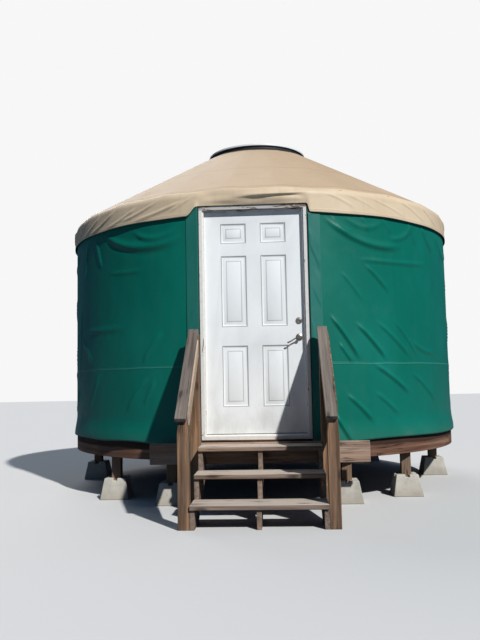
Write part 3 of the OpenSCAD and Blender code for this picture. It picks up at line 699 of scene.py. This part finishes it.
wallCloth = {
    "radius": wallRadius - 0.002, "frontColumns": 205, "columns": 115, "rows": 145, "frontEnd": 2.5,
    "thickness": 0.002, "narrow": 1.12, "deep": 1.5, "flare": 0.03, "dip": 0.036,
    # folds seen beside the door, in metres along the wall from the door's middle and up from the ground
    "frontFolds": [
        (0.64, 2.6, 1.6, 2.38, -0.13, 0.03, 0.013), (0.84, 2.62, 1.34, 2.6, -0.1, 0.024, 0.004),
        (1.36, 2.43, 1.74, 2.6, -0.06, 0.026, 0.006), (0.72, 2.62, 0.96, 2.44, -0.03, 0.018, 0.005),
        (1.03, 2.63, 1.14, 2.46, 0.01, 0.02, 0.004), (1.28, 2.63, 1.4, 2.47, 0.01, 0.022, 0.004),
        (1.66, 2.64, 1.78, 2.4, 0, 0.024, 0.006), (1.9, 2.64, 2.14, 2.38, -0.02, 0.024, 0.01),
        (2.25, 2.62, 2.45, 2.3, -0.02, 0.024, 0.008), (0.95, 2.21, 2.05, 2.24, -0.02, 0.018, 0.007),
        (1.06, 2.17, 1.36, 1.9, 0.01, 0.018, 0.009), (0.68, 1.7, 1, 1.26, 0.01, 0.018, 0.014),
        (0.94, 1.63, 1.31, 1.26, 0.01, 0.02, 0.014), (1.16, 1.65, 1.66, 1.27, 0.01, 0.018, 0.009),
        (1.38, 1.67, 1.77, 1.28, 0.01, 0.016, 0.007), (0.77, 1.44, 0.91, 1.25, 0, 0.014, 0.01),
        (1.62, 1.48, 2.12, 1.36, -0.05, 0.022, 0.007), (1.12, 1.25, 1.62, 0.94, 0.01, 0.022, 0.013),
        (0.82, 0.98, 1.13, 0.7, 0.01, 0.02, 0.013), (0.71, 0.82, 0.88, 0.54, 0, 0.018, 0.014),
        (1.12, 0.99, 1.45, 0.75, 0.01, 0.02, 0.008), (1.6, 1.17, 2.11, 0.84, 0.02, 0.022, 0.008),
        (0.8, 2.1, 1.05, 1.8, 0.01, 0.016, 0.005), (-1.72, 2.62, -0.58, 2.46, -0.15, 0.04, 0.01),
        (-1.25, 2.56, -0.66, 2.55, -0.1, 0.03, 0.007), (-1.6, 2.19, -1.08, 2.17, -0.01, 0.02, 0.003),
        (-2.16, 1.66, -1.3, 1.64, -0.02, 0.028, 0.003), (-1.12, 1.27, -0.86, 1.59, 0.01, 0.024, 0.005),
        (-1.34, 0.82, -1.02, 1.17, 0.01, 0.024, 0.006), (-1.1, 0.9, -0.95, 1.14, 0, 0.02, 0.004),
        (-2.15, 2.15, -2.02, 2.62, 0.01, 0.03, 0.006), (-1.71, 2.25, -1.85, 2.62, 0.01, 0.028, 0.005),
        (-2.3, 1.62, -1.92, 1.28, 0, 0.03, 0.005), (-2.02, 0.78, -1.74, 1.22, 0.01, 0.028, 0.005),
        (-2.3, 2, -2.42, 1, 0.02, 0.034, 0.006),
    ],
    # further round, folds are drawn by chance between these places along the wall
    "backFolds": 74, "backFrom": 2.25, "backTo": 6.2, "seed": 5,
}


def backFolds(s):
    # scallops that hang below the valance, and slanting folds over the rest of the wall
    low, high, top = s["backFrom"], s["backTo"], hemHeight - 0.02
    rng = np.random.default_rng(s["seed"])
    rows = []
    for side in (-1, 1):
        for place in np.arange(low, high, 0.62):
            a = side * (place + rng.uniform(-0.1, 0.1))
            rows.append((a, top, a + side * rng.uniform(0.5, 0.85), top - rng.uniform(0.02, 0.12),
                         side * rng.uniform(-0.22, -0.1), 0.03, rng.uniform(0.008, 0.013)))
    for _ in range(s["backFolds"]):
        side = rng.choice([-1, 1])
        a, u = side * rng.uniform(low, high), rng.uniform(1.0, 2.45)
        reach, fall = rng.uniform(0.25, 0.7), rng.uniform(0.25, 0.7)
        rows.append((a, u, a + side * reach, max(u - fall, 0.62), rng.uniform(-0.04, 0.04),
                     rng.uniform(0.014, 0.03), rng.uniform(0.005, 0.011)))
    return rows


def wallHalf(s, side):
    # radius = cloth radius + folds + broad ripples, eased out under the valance and at the door's edge
    start = doorAngle + 0.0004
    middle = s["frontEnd"] / s["radius"]
    near = np.linspace(start, middle, s["frontColumns"], endpoint=False)
    angle = side * np.concatenate([near, np.linspace(middle, pi - 0.0004, s["columns"])])
    height = np.linspace(coverLow, coverHigh - 0.012, s["rows"])
    angle, height = np.meshgrid(angle, height)
    along = angle * s["radius"]
    folds = [(*row[:5], row[5] * s["narrow"], row[6] * s["deep"]) for row in s["frontFolds"] + backFolds(s)]
    # the folds lie flatter where the wall's outline is seen from the front
    out = foldHeights(along, height, folds) * (1 - 0.7 * np.exp(-((np.abs(along) - 2.95) / 0.4) ** 2))
    out += 0.0028 * ripple(along * 2.2 + 40, height * 1.3 + 9, 3) + 0.0012 * ripple(along * 9 + 7, height * 5, 4)
    spread = (1 - ease((height - coverLow) / 0.26)) ** 1.6
    out += s["flare"] * spread * (0.8 + 0.3 * ripple(along * 2.1 + 60, height, 8))
    away = ease((np.abs(angle) - start) * s["radius"] / 0.05) * ease((pi - np.abs(angle)) / 0.02)
    under = 1 - 0.93 * ease((height - hemHeight + 0.05) / 0.05)
    out = np.clip(out, -0.0015, 0.034) * away * under
    low = 1 - ease((height - coverLow) / 0.4)
    height = height + 0.006 * ripple(along * 2.4 + 11, along * 0, 12) * low
    height -= s["dip"] * np.exp(-((np.abs(along) - 0.55) / 0.42) ** 2) * low
    points = onRound(angle, height, s["radius"] + out)
    flat = np.stack([along, height], axis=-1)
    word = "right" if side > 0 else "left"
    covers = [start + word for start in ("wall_cover_front_", "wall_cover_", "wall_cover_back_")]
    piece = clothPiece("wallCloth" + word.title(), points, flat, "wallCloth", covers, s["thickness"], -1,
                       flip=side < 0)


wallHalf(wallCloth, 1)
wallHalf(wallCloth, -1)
print("stage: wall cloth is hung")


# ---- strips of cloth beside the door

doorStrip = {"width": 0.118, "clear": 0.009, "proud": 0.006, "wrinkles": 0.006, "right": 1.3, "left": 0.3,
             "columns": 22, "rows": 220, "thickness": 0.0018}


def stripBeside(s, side):
    # from the frame's edge out to the wall cloth, flat and a little proud at the frame, with slanting wrinkles
    start = doorAngle + s["clear"] / eaveRadius
    across = np.linspace(0, 1, s["columns"])
    top = frameTop - 0.012 if side < 0 else hemHeight - 0.004
    height = np.linspace(coverLow - 0.004, top, s["rows"])
    across, height = np.meshgrid(across, height)
    angle = side * (start + across * s["width"] / eaveRadius)
    wrinkles = s["wrinkles"] * np.maximum(ripple(height * 11 + across * 2.6 + 3, height * 1.4 - across, 21 + side), 0)
    wrinkles *= ease(across / 0.2) * ease((1 - across) / 0.2) * s["right" if side > 0 else "left"]
    radius = wallRadius + 0.0012 + s["proud"] * (1 - across) ** 2 + wrinkles
    points = onRound(angle, height, radius)
    flat = np.stack([across * s["width"] * side + 9, height], axis=-1)
    word = "right" if side > 0 else "left"
    piece = clothPiece("doorStrip" + word.title(), points, flat, "stripCloth", ["door_flap_" + word],
                       s["thickness"], 1, flip=side < 0)


stripBeside(doorStrip, 1)
stripBeside(doorStrip, -1)


# ---- roof cloth and valance

roofCloth = {"columns": 576, "rows": 56, "thickness": 0.0022, "sag": 0.009, "creases": 0.002, "above": 0.0026,
             "foldEnd": 0.05}


# how far the cloth sags at an angle: none at a rafter, most halfway to the next
def rafterSag(angle):
    between = 0.5 - 0.5 * np.cos((angle * rafterCount / (2 * pi) + 0.5) * 2 * pi)
    return roofCloth["sag"] * between ** 0.7


def roofCone(s):
    # a cone laid over the rafters, sagging a little between them, from the skylight to just short of the eave
    angle = np.linspace(-pi, pi, s["columns"], endpoint=False)
    radius = np.linspace(roofInner, eaveRadius - s["foldEnd"], s["rows"])
    angle, radius = np.meshgrid(angle, radius)
    share = np.clip((radius - 0.62) / 1.2, 0, 1)
    drop = rafterSag(angle) * share
    creases = s["creases"] * ripple(angle * 6 + 30, radius * 5, 14) * share
    height = coneHeight(radius) + s["above"] - drop + np.maximum(creases, -0.001)
    points = onRound(angle, height, radius)
    slant = (radius - roofInner) / cos(roofPitch)
    flat = np.stack([angle * 1.3, slant], axis=-1)
    piece = clothPiece("roofCloth", points, flat, "roofCloth", ["roof_cover"], s["thickness"], -1,
                       wrap=True, flip=True)


valance = {
    "columns": 900, "rows": 34, "thickness": 0.002, "fold": 0.042, "pull": 0.03, "hemUp": 0.11, "hemUpRight": 0.022,
    "standOff": 0.012, "bendShare": 0.3, "bendDrop": 0.055, "flapGap": 0.0085,
    # the flap over the door: its pleat's middle, how much lower it is on the left, how far it bags out
    "pleat": 0.03, "pleatSlant": 0.044, "pleatOut": 0.021, "slack": 0.005,
    # folds near the door: metres along from the door's middle, and down from the eave as a minus
    "frontFolds": [
        (-0.62, -0.05, -1.25, -0.19, 0.02, 0.02, 0.01), (-0.9, -0.02, -1.4, -0.17, 0.02, 0.016, 0.009),
        (-1.15, -0.04, -1.62, -0.2, 0.02, 0.018, 0.009), (-1.45, -0.02, -1.95, -0.2, 0.02, 0.02, 0.011),
        (-1.72, -0.02, -2.15, -0.2, 0.02, 0.018, 0.01), (-2.05, -0.01, -2.42, -0.2, 0.01, 0.018, 0.01),
        (-2.36, -0.01, -2.66, -0.2, 0.01, 0.018, 0.01), (-0.55, -0.03, -0.8, -0.16, 0, 0.014, 0.007),
        (0.66, -0.03, 1.02, -0.19, 0.02, 0.014, 0.004), (0.86, -0.02, 1.3, -0.19, 0.01, 0.014, 0.004),
        (1.1, -0.03, 1.62, -0.19, 0.01, 0.013, 0.004), (1.5, -0.02, 1.98, -0.2, 0.02, 0.014, 0.005),
        (1.9, -0.02, 2.3, -0.2, 0.01, 0.016, 0.006), (2.3, -0.02, 2.6, -0.2, 0.01, 0.016, 0.006),
    ],
    "seed": 17, "backFolds": 70,
}


def valanceRound(s):
    # the eave's soft fold, then the drop to a wavy hem; over the door it leans in to the head of the frame
    angle = np.linspace(-pi, pi, s["columns"], endpoint=False)
    run = np.linspace(0, 1, s["rows"])
    angle, run = np.meshgrid(angle, run)
    along = angle * eaveRadius
    half = doorAngle * eaveRadius
    # 1 over the door, 0 beyond it; the hem's left end climbs over a longer way than its right end
    climb = np.where(along < 0, s["hemUp"], s["hemUpRight"])
    overDoor = 1 - ease((np.abs(along) - half - 0.004) / climb)
    atDoor = 1 - ease((np.abs(along) - half + 0.002) / 0.03)
    hem = hemHeight + 0.004 * ripple(along * 2.3 + 20, along * 0 + 2, 31)
    hem = hem * (1 - overDoor) + (frameTop - 0.012) * overDoor
    startRadius, startHeight = eaveRadius - s["fold"], coneHeight(eaveRadius - s["fold"]) + 0.0034
    # over the door the eave's fold is drawn in towards the header
    pull = s["pull"] * ease((half + 0.03 - np.abs(along)) / 0.16)
    cornerRadius = eaveRadius + 0.001 - pull
    cornerHeight = coneHeight(cornerRadius) + 0.0016
    turnEnd = cornerHeight - s["bendDrop"]
    bendShare = s["bendShare"]
    t = np.clip(run / bendShare, 0, 1)
    q0, q1, q2 = (1 - t) ** 2, 2 * t * (1 - t), t ** 2
    sag = rafterSag(angle)
    radius = q0 * startRadius + (q1 + q2) * cornerRadius
    height = q0 * (startHeight - sag) + q1 * (cornerHeight - sag * 0.6) + q2 * turnEnd
    fall = np.clip((run - bendShare) / (1 - bendShare), 0, 1)
    height = np.where(run > bendShare, turnEnd + (hem - turnEnd) * fall, height)
    lean = (s["flapGap"] - frameFront) / np.cos(np.clip(angle, -doorAngle, doorAngle)) - cornerRadius
    radius = radius + np.where(run > bendShare, lean * atDoor * fall, 0)
    rng = np.random.default_rng(s["seed"])
    rows = list(s["frontFolds"])
    for _ in range(s["backFolds"]):
        side = rng.choice([-1, 1])
        a = side * rng.uniform(2.6, 6.4)
        rows.append((a, -0.02, a + side * rng.uniform(0.2, 0.5), -rng.uniform(0.14, 0.2), 0.02 * side,
                     rng.uniform(0.013, 0.022), rng.uniform(0.005, 0.010)))
    down = height - eaveHeight
    out = foldHeights(along, down, rows) + 0.003 * ripple(along * 3.5 + 50, down * 6, 33)
    out += 0.006 * np.maximum(ripple(along * 2.6 + 17, down * 0 + 5, 35), -0.3) * fall
    # the loose flap over the door hangs in one long slanting pleat whose upper edge overhangs
    pleat = -s["pleat"] - s["pleatSlant"] * (0.5 - along / (2 * half))
    above = down - pleat
    share = ease((along + half * 0.45) / 0.35) * ease((half + 0.01 - along) / 0.16)
    bag = s["pleatOut"] * share * np.where(above > 0, np.exp(-(above / 0.024) ** 2), np.exp(-(above / 0.0115) ** 2))
    slack = np.sin(pi * fall) * ease((half - np.abs(along)) / 0.1)
    bag += s["slack"] * slack * (1 + ripple(along * 4 + 71, fall * 2, 41))
    shown = ease(run / 0.25)
    out = (np.clip(out, -0.001, 0.02) + s["standOff"] * fall) * (1 - atDoor) * shown + bag * atDoor * shown
    points = onRound(angle, height, radius + out)
    flat = np.stack([along, down], axis=-1)
    piece = clothPiece("valanceCloth", points, flat, "valanceCloth", ["valance", "door_head_flap"],
                       s["thickness"], 1, wrap=True, flip=True)


roofCone(roofCloth)
valanceRound(valance)
print("stage: roof cloth and valance are laid")


# ---- skylight

def turned(name, profile, finish, replaced, smooth=35):
    # a profile of (radius, height) points spun round the yurt's axis
    profile = np.asarray(profile, float)
    angle = np.linspace(0, 2 * pi, 160, endpoint=False)
    radius, height = profile[:, 0][:, None], profile[:, 1][:, None]
    points = np.stack([radius * np.cos(angle), radius * np.sin(angle), height + 0 * angle], axis=-1)
    newPiece(name, cleaned(gridMesh(name, points, wrap=True), 1e-5), finish, "yurt", replaced, smooth)


skylight = {"rimIn": 0.534, "bead": 0.005, "lip": 0.007, "lipThick": 0.003, "lipStep": 0.004,
            "shell": 0.0045, "seat": 0.012}


def closeSkylight(s):
    # a flat band with rounded top edges and a lip round its foot, and two caps of a ball as the dome's shell
    low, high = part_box("skylight_rim")
    outside, inside, foot, top, bead = high[0], s["rimIn"], low[2], high[2], s["bead"]
    turn = np.linspace(-pi / 2, pi / 2, 9)
    rim = [(inside + bead - bead * cos(t), top - bead + bead * sin(t)) for t in turn[4:]]
    rim += [(outside - bead + bead * cos(t), top - bead + bead * sin(t)) for t in turn[:3:-1]]
    rim += [(outside, foot - s["lip"]), (outside - s["lipThick"], foot - s["lip"]), (outside - s["lipStep"], foot),
            (inside, foot), (inside, top - bead)]
    turned("skylightRimBand", rim, "rimWhite", ["skylight_rim"])
    low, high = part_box("skylight_dome")
    span, rise = high[0], high[2] - low[2]
    ball = (span ** 2 + rise ** 2) / (2 * rise)
    outer = [(x, low[2] + sqrt(ball ** 2 - x * x) - ball + rise) for x in np.linspace(0, span, 30)]
    inner = [(x, z - s["shell"]) for x, z in outer[:-1]] + [(span - s["seat"], low[2] + 0.0002)]
    turned("skylightDomeShell", outer + inner[::-1], "dome", ["skylight_dome"], smooth=60)


closeSkylight(skylight)
dress("skylight_curb", "curb")
print("stage: skylight is closed")


# ---- timber: worn copies of the CAD boards

timber = [
    ("pier_blocks", "concrete", 0.006), ("platform_posts", "framing", 0.003), ("floor_beams", "framing", 0.003),
    ("floor_joists", "framing", 0.002), ("rim_boards", "rim", 0.004, "arc"), ("step_ledger", "ledger", 0.004),
    ("stringers", "treads", 0.003), ("treads", "treads", 0.006), ("newels", "posts", 0.004),
    ("rear_posts", "posts", 0.004), ("rail_caps", "rails", 0.005), ("rafters", "rafters", 0.003),
    ("centre_ring", "rafters", 0.004, "arc"), ("door_jambs", "frame", 0.002), ("door_head", "head", 0.002),
    ("door_header", "framing", 0.003), ("door_threshold", "frame", 0.002),
]
for number, (node, *values) in enumerate(timber):
    wornCopy(node, *values, seed=100 + number)
print("stage: timber is worn")


# ---- boards under the handrails: their shadow lies on the door and the wall, and they fill each side

railSlope = radians(39.6)
railSides = {"post": 0.089, "gap": 0.005, "count": 5, "thick": 0.019, "stretcher": 0.038, "edge": 0.002, "seed": 23,
             # the bottom edge of the boards: height at the newel's back, and its rise for each metre
             "foot": 0.27, "footRise": 0.61, "stretcherDeep": 0.14}


def boardSides(s):
    newel, rear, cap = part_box("newels"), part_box("rear_posts"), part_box("rail_caps")
    post = s["post"]
    front, back = newel[0][1] + post + 0.001, rear[0][1] - 0.001
    under = lambda y: cap[0][2] + (y - cap[0][1]) * tan(railSlope) - 0.003
    boards, stretchers = [], []
    for inner, outer in ((newel[1][0] - post, newel[1][0]), (newel[0][0] + post, newel[0][0])):
        out = copysign(1, outer - inner)
        pitch = (back - front + s["gap"]) / s["count"]
        for k in range(s["count"]):
            y0, y1 = front + k * pitch, front + (k + 1) * pitch - s["gap"]
            low = [s["foot"] + (y - front) * s["footRise"] for y in (y0, y1)]
            outline = [(y0, low[0]), (y1, low[1]), (y1, under(y1)), (y0, under(y0))]
            boards.append(sideBoard(outline, outer - out * s["thick"], outer))
        outline = [(front, under(front) - s["stretcherDeep"]), (back, under(back) - s["stretcherDeep"]),
                   (back, under(back)), (front, under(front))]
        stretchers.append(sideBoard(outline, inner, inner + out * s["stretcher"]))
    for name, shapes, finish in (("railSides", boards, "posts"), ("railStretchers", stretchers, "stretchers")):
        mesh = cleaned(joinedMesh(name, shapes))
        addGrain(mesh, s["seed"])
        piece = newPiece(name, mesh, finish, smooth=20)
        rounded(piece, s["edge"])


# ---- floor boards, tongue and groove, cut round to the rim

floorBoards = {"pitch": 0.137, "groove": 0.003, "vee": 0.003, "seed": 7}


def layFloor(s):
    # each board is a strip along X whose ends follow the circle, with a small vee along its top edges
    low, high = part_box("floor_deck")
    radius = high[0]
    shapes = []
    count = int(radius / s["pitch"]) + 1
    for k in range(-count, count + 1):
        y0 = max((k - 0.5) * s["pitch"] + s["groove"] / 2, -radius + 0.004)
        y1 = min((k + 0.5) * s["pitch"] - s["groove"] / 2, radius - 0.004)
        if y1 - y0 < 0.02:
            continue
        y = np.linspace(y0, y1, 7)
        half = np.sqrt(radius ** 2 - y ** 2)
        outline = np.concatenate([np.stack([half, y], 1), np.stack([-half[::-1], y[::-1]], 1)])
        middle = (y0 + y1) / 2
        top = outline.copy()
        top[:, 1] = middle + (top[:, 1] - middle) * (1 - 2 * s["vee"] / (y1 - y0))
        levels = ((outline, low[2]), (outline, high[2] - s["vee"]), (top, high[2]))
        shapes.append(stacked(np.array([np.column_stack([ring, np.full(len(ring), z)]) for ring, z in levels])))
    mesh = joinedMesh("floorBoards", shapes)
    addGrain(mesh, s["seed"])
    newPiece("floorBoards", mesh, "floor", "yurt", ["floor_deck"], smooth=20)


layFloor(floorBoards)


# ---- CAD nodes that keep their own mesh

for quarter in ("front_left", "back_left", "back_right", "front_right"):
    dress("lattice_" + quarter, "latticeAsh")
for node, finish in (("eave_cable", "cable"), ("door_hinges", "hinge"), ("door_hinge_leaves", "hinge")):
    dress(node, finish)
wornCopy("door_slab", "door", 0.0015, seed=61, body="door")
print("stage: CAD nodes are dressed")

# ---- lock, lever, screws and strips

# a closed outline of (radius, distance along the axis) spun round an axis through a point
def spun(profile, centre, axis, sides=40):
    profile, centre, axis = np.asarray(profile, float), np.asarray(centre, float), np.asarray(axis, float)
    first = np.cross(axis, (0.31, 0.17, 0.93))
    first /= np.linalg.norm(first)
    second = np.cross(axis, first)
    angle = np.linspace(0, 2 * pi, sides, endpoint=False)
    ring = np.cos(angle)[:, None] * first + np.sin(angle)[:, None] * second
    points = centre + profile[:, 1][:, None, None] * axis + profile[:, 0][:, None, None] * ring
    return stacked(points, joined=True)


# a rounded bar along a path, with a width across the Y axis and a height in the path's own plane
def bar(path, depth, height, sides=20):
    path = np.asarray(path, float)
    ahead = np.gradient(path, axis=0)
    ahead /= np.linalg.norm(ahead, axis=1)[:, None]
    side = np.array([0.0, 1.0, 0.0])
    upward = np.cross(ahead, side)
    angle = np.linspace(0, 2 * pi, sides, endpoint=False)
    rings = (path[:, None] + np.cos(angle)[None, :, None] * side * np.asarray(depth)[:, None, None]
             + np.sin(angle)[None, :, None] * upward[:, None] * np.asarray(height)[:, None, None])
    return stacked(rings)


lockShapes = {"rose": 0.033, "boltRose": 0.03, "bore": 0.0122, "stand": 0.04, "reach": 0.121, "droop": 23.5}


def fitLock(s):
    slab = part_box("door_slab")
    faceFront, faceBack = slab[0][1], slab[1][1]
    low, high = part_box("lock_roses")
    x, z = (low[0] + high[0]) / 2, (low[2] + high[2]) / 2
    rose = [(s["bore"], 0.0003), (s["rose"], 0.0003), (s["rose"], 0.002), (s["rose"] - 0.002, 0.0045),
            (s["rose"] - 0.006, 0.0052), (s["rose"] - 0.008, 0.0068), (0.019, 0.0084), (0.0165, 0.0091),
            (s["bore"], 0.0091)]
    shapes = [spun(rose, (x, faceFront, z), (0, -1, 0), 56), spun(rose, (x, faceBack, z), (0, 1, 0), 56)]
    builtPiece("leverRoses", shapes, "lock", "door", ["lock_roses"], 35)
    # the deadbolt: a stepped rose with a keyed cylinder outside, and a thumb turn inside
    low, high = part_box("deadbolt")
    bx, bz = (low[0] + high[0]) / 2, (low[2] + high[2]) / 2
    r = s["boltRose"]
    outside = [(0, 0.0003), (r, 0.0003), (r, 0.004), (r - 0.003, 0.008), (r - 0.009, 0.0095), (r - 0.011, 0.0125),
               (0.0155, 0.0172), (0.0125, 0.018), (0.0118, 0.0172), (0.009, 0.0172), (0, 0.0172)]
    inside = [(0, 0.0003), (r, 0.0003), (r, 0.004), (r - 0.003, 0.008), (0.012, 0.009), (0.008, 0.013), (0, 0.013)]
    shapes = [spun(outside, (bx, faceFront, bz), (0, -1, 0), 56), spun(inside, (bx, faceBack, bz), (0, 1, 0), 56)]
    turn = np.linspace(-1, 1, 15)
    path = np.stack([bx + 0 * turn, faceBack + 0.019 + 0 * turn, bz + 0.0155 * turn], 1)
    swell = np.sqrt(np.clip(1.02 - turn ** 2, 0.02, 1))
    shapes.append(bar(path, 0.007 * swell, 0.0045 * swell))
    slot = boxShape((bx - 0.0011, faceFront - 0.0176, bz - 0.0045), (bx + 0.0011, faceFront - 0.0168, bz + 0.0045))
    builtPiece("deadboltSet", shapes, "lock", "door", ["deadbolt"], 35)
    builtPiece("keyway", [slot], "gasket", "door")
    # the levers: a hub and a drooping arm that waves, swells at its end and curls back
    u = np.linspace(0, 1, 34)
    reach, droop = s["reach"], radians(s["droop"])
    shapes = []
    for face, out in ((faceFront, -1), (faceBack, 1)):
        arm = face + out * s["stand"]
        wave = 0.0065 * np.sin(u * 2 * pi * 0.95) * (0.4 + 0.6 * u)
        px = x - (u * reach) * cos(droop) + wave * sin(droop)
        pz = z - (u * reach) * sin(droop) + wave * cos(droop)
        depth = 0.0058 - 0.0012 * np.sin(pi * u)
        height = np.interp(u, [0, 0.12, 0.5, 0.8, 0.93, 1], [0.0095, 0.0085, 0.0056, 0.0066, 0.0085, 0.003])
        path = np.stack([px, arm + 0 * u, pz], 1)
        shapes.append(bar(path, depth, height))
        hub = [(0, 0.0005), (0.0119, 0.0005), (0.0119, 0.03), (0.0135, 0.034), (0.0135, 0.044),
               (0.0115, 0.0475), (0.006, 0.0488), (0, 0.0488)]
        shapes.append(spun(hub, (x, face, z), (0, out, 0), 40))
    shaft = [(0, 0), (0.0117, 0), (0.0117, faceBack - faceFront), (0, faceBack - faceFront)]
    shapes.append(spun(shaft, (x, faceFront, z), (0, 1, 0), 32))
    builtPiece("leverPair", shapes, "lock", "lever", ["door_lever"], 40)


fitLock(lockShapes)
boardSides(railSides)


def screwShapes(spots, axis, radius=0.0042, rise=0.0008):
    # a low domed head with a small square drive in it
    head = [(0, -0.0015), (radius, -0.0015), (radius, 0.0001), (radius * 0.8, rise), (radius * 0.32, rise),
            (radius * 0.3, -0.0004), (0, -0.0004)]
    return [spun(head, spot, axis, 12) for spot in spots]


fixings = {"stringerHalf": 0.019, "treadRise": 0.188, "treadRun": 0.308, "treadRows": (0.032, 0.108, 0.178, 0.254),
           # the rail caps: half their width, a point of their underside, their thickness and places along and across
           "capHalf": 0.0445, "capFoot": (-3.05, 0.808), "capThick": 0.038,
           "capScrews": ((-2.985, -0.018), (-2.965, 0.018), (-2.225, -0.018), (-2.205, 0.018)),
           "ledgerPitch": 0.405, "ledgerInset": 0.04, "stepsWide": (-0.58, 0.65),
           "rimCount": 16, "rimInset": 0.02}


def driveScrews(s):
    low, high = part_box("treads")
    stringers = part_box("stringers")
    half = s["stringerHalf"]
    xs = (stringers[0][0] + half, (stringers[0][0] + stringers[1][0]) / 2, stringers[1][0] - half)
    shapes = []
    for number in range(3):
        top = high[2] - s["treadRise"] * number + 0.0001
        front = low[1] + s["treadRun"] * (2 - number)
        # the top tread is one row shorter
        rows = [front + row for row in (s["treadRows"] if number else s["treadRows"][:3])]
        shapes += screwShapes([(x + 0.004 * sin(17 * x + y), y, top) for x in xs for y in rows], (0, 0, 1))
    low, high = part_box("rail_caps")
    footY, footZ = s["capFoot"]
    for x in (low[0] + s["capHalf"], high[0] - s["capHalf"]):
        for y, off in s["capScrews"]:
            z = footZ + (y - footY) * tan(railSlope) + s["capThick"] / cos(railSlope)
            shapes += screwShapes([(x + off, y, z)], (0, -sin(railSlope), cos(railSlope)))
    low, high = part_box("step_ledger")
    spots = []
    for x in np.arange(low[0] + 0.05, high[0], s["ledgerPitch"]):
        spots += [(x, low[1], low[2] + s["ledgerInset"]), (x + 0.02, low[1], high[2] - s["ledgerInset"])]
    left, right = s["stepsWide"]
    shapes += screwShapes([q for q in spots if not left < q[0] < right], (0, -1, 0), 0.0058, 0.0012)
    builtPiece("screwHeads", shapes, "screw", smooth=40)
    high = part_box("skylight_rim")[1]
    radius = high[0] - s["rimInset"]
    turn = np.linspace(0, 2 * pi, s["rimCount"], endpoint=False) + 0.1
    spots = [(radius * cos(a), radius * sin(a), high[2] + 0.0001) for a in turn]
    builtPiece("rimScrews", screwShapes(spots, (0, 0, 1), 0.005), "screw", smooth=40)


driveScrews(fixings)


def darkStrips():
    # thin dark strips between the cloth and the frame, and the sweep under the door
    shapes = []
    for side in (-1, 1):
        x = side * (frameHalf + 0.0002)
        shapes.append(boxShape((min(x, x + side * 0.006), frameFront - 0.004, deckTop + 0.002),
                               (max(x, x + side * 0.006), frameFront + 0.012, frameTop - 0.003)))
    builtPiece("darkEdgeStrips", shapes, "gasket")
    low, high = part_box("door_slab")
    sweep = boxShape((low[0] + 0.004, low[1] + 0.006, low[2] - 0.0048), (high[0] - 0.004, high[1] - 0.006, low[2]))
    builtPiece("doorSweep", [sweep], "gasket", "door")


darkStrips()
print("stage: lock, screws and strips are fitted")

# ---- studio floor

floorMesh = bpy.data.meshes.new("studioFloor")
reach = studio["floorReach"]
corners = [(-reach, -reach, 0), (reach, -reach, 0), (reach, reach, 0), (-reach, reach, 0)]
floorMesh.from_pydata(corners, [], [(0, 1, 2, 3)])
floorPiece = bpy.data.objects.new("studioFloor", floorMesh)
floorMesh.materials.append(finishes["floorStage"])
scene.collection.objects.link(floorPiece)

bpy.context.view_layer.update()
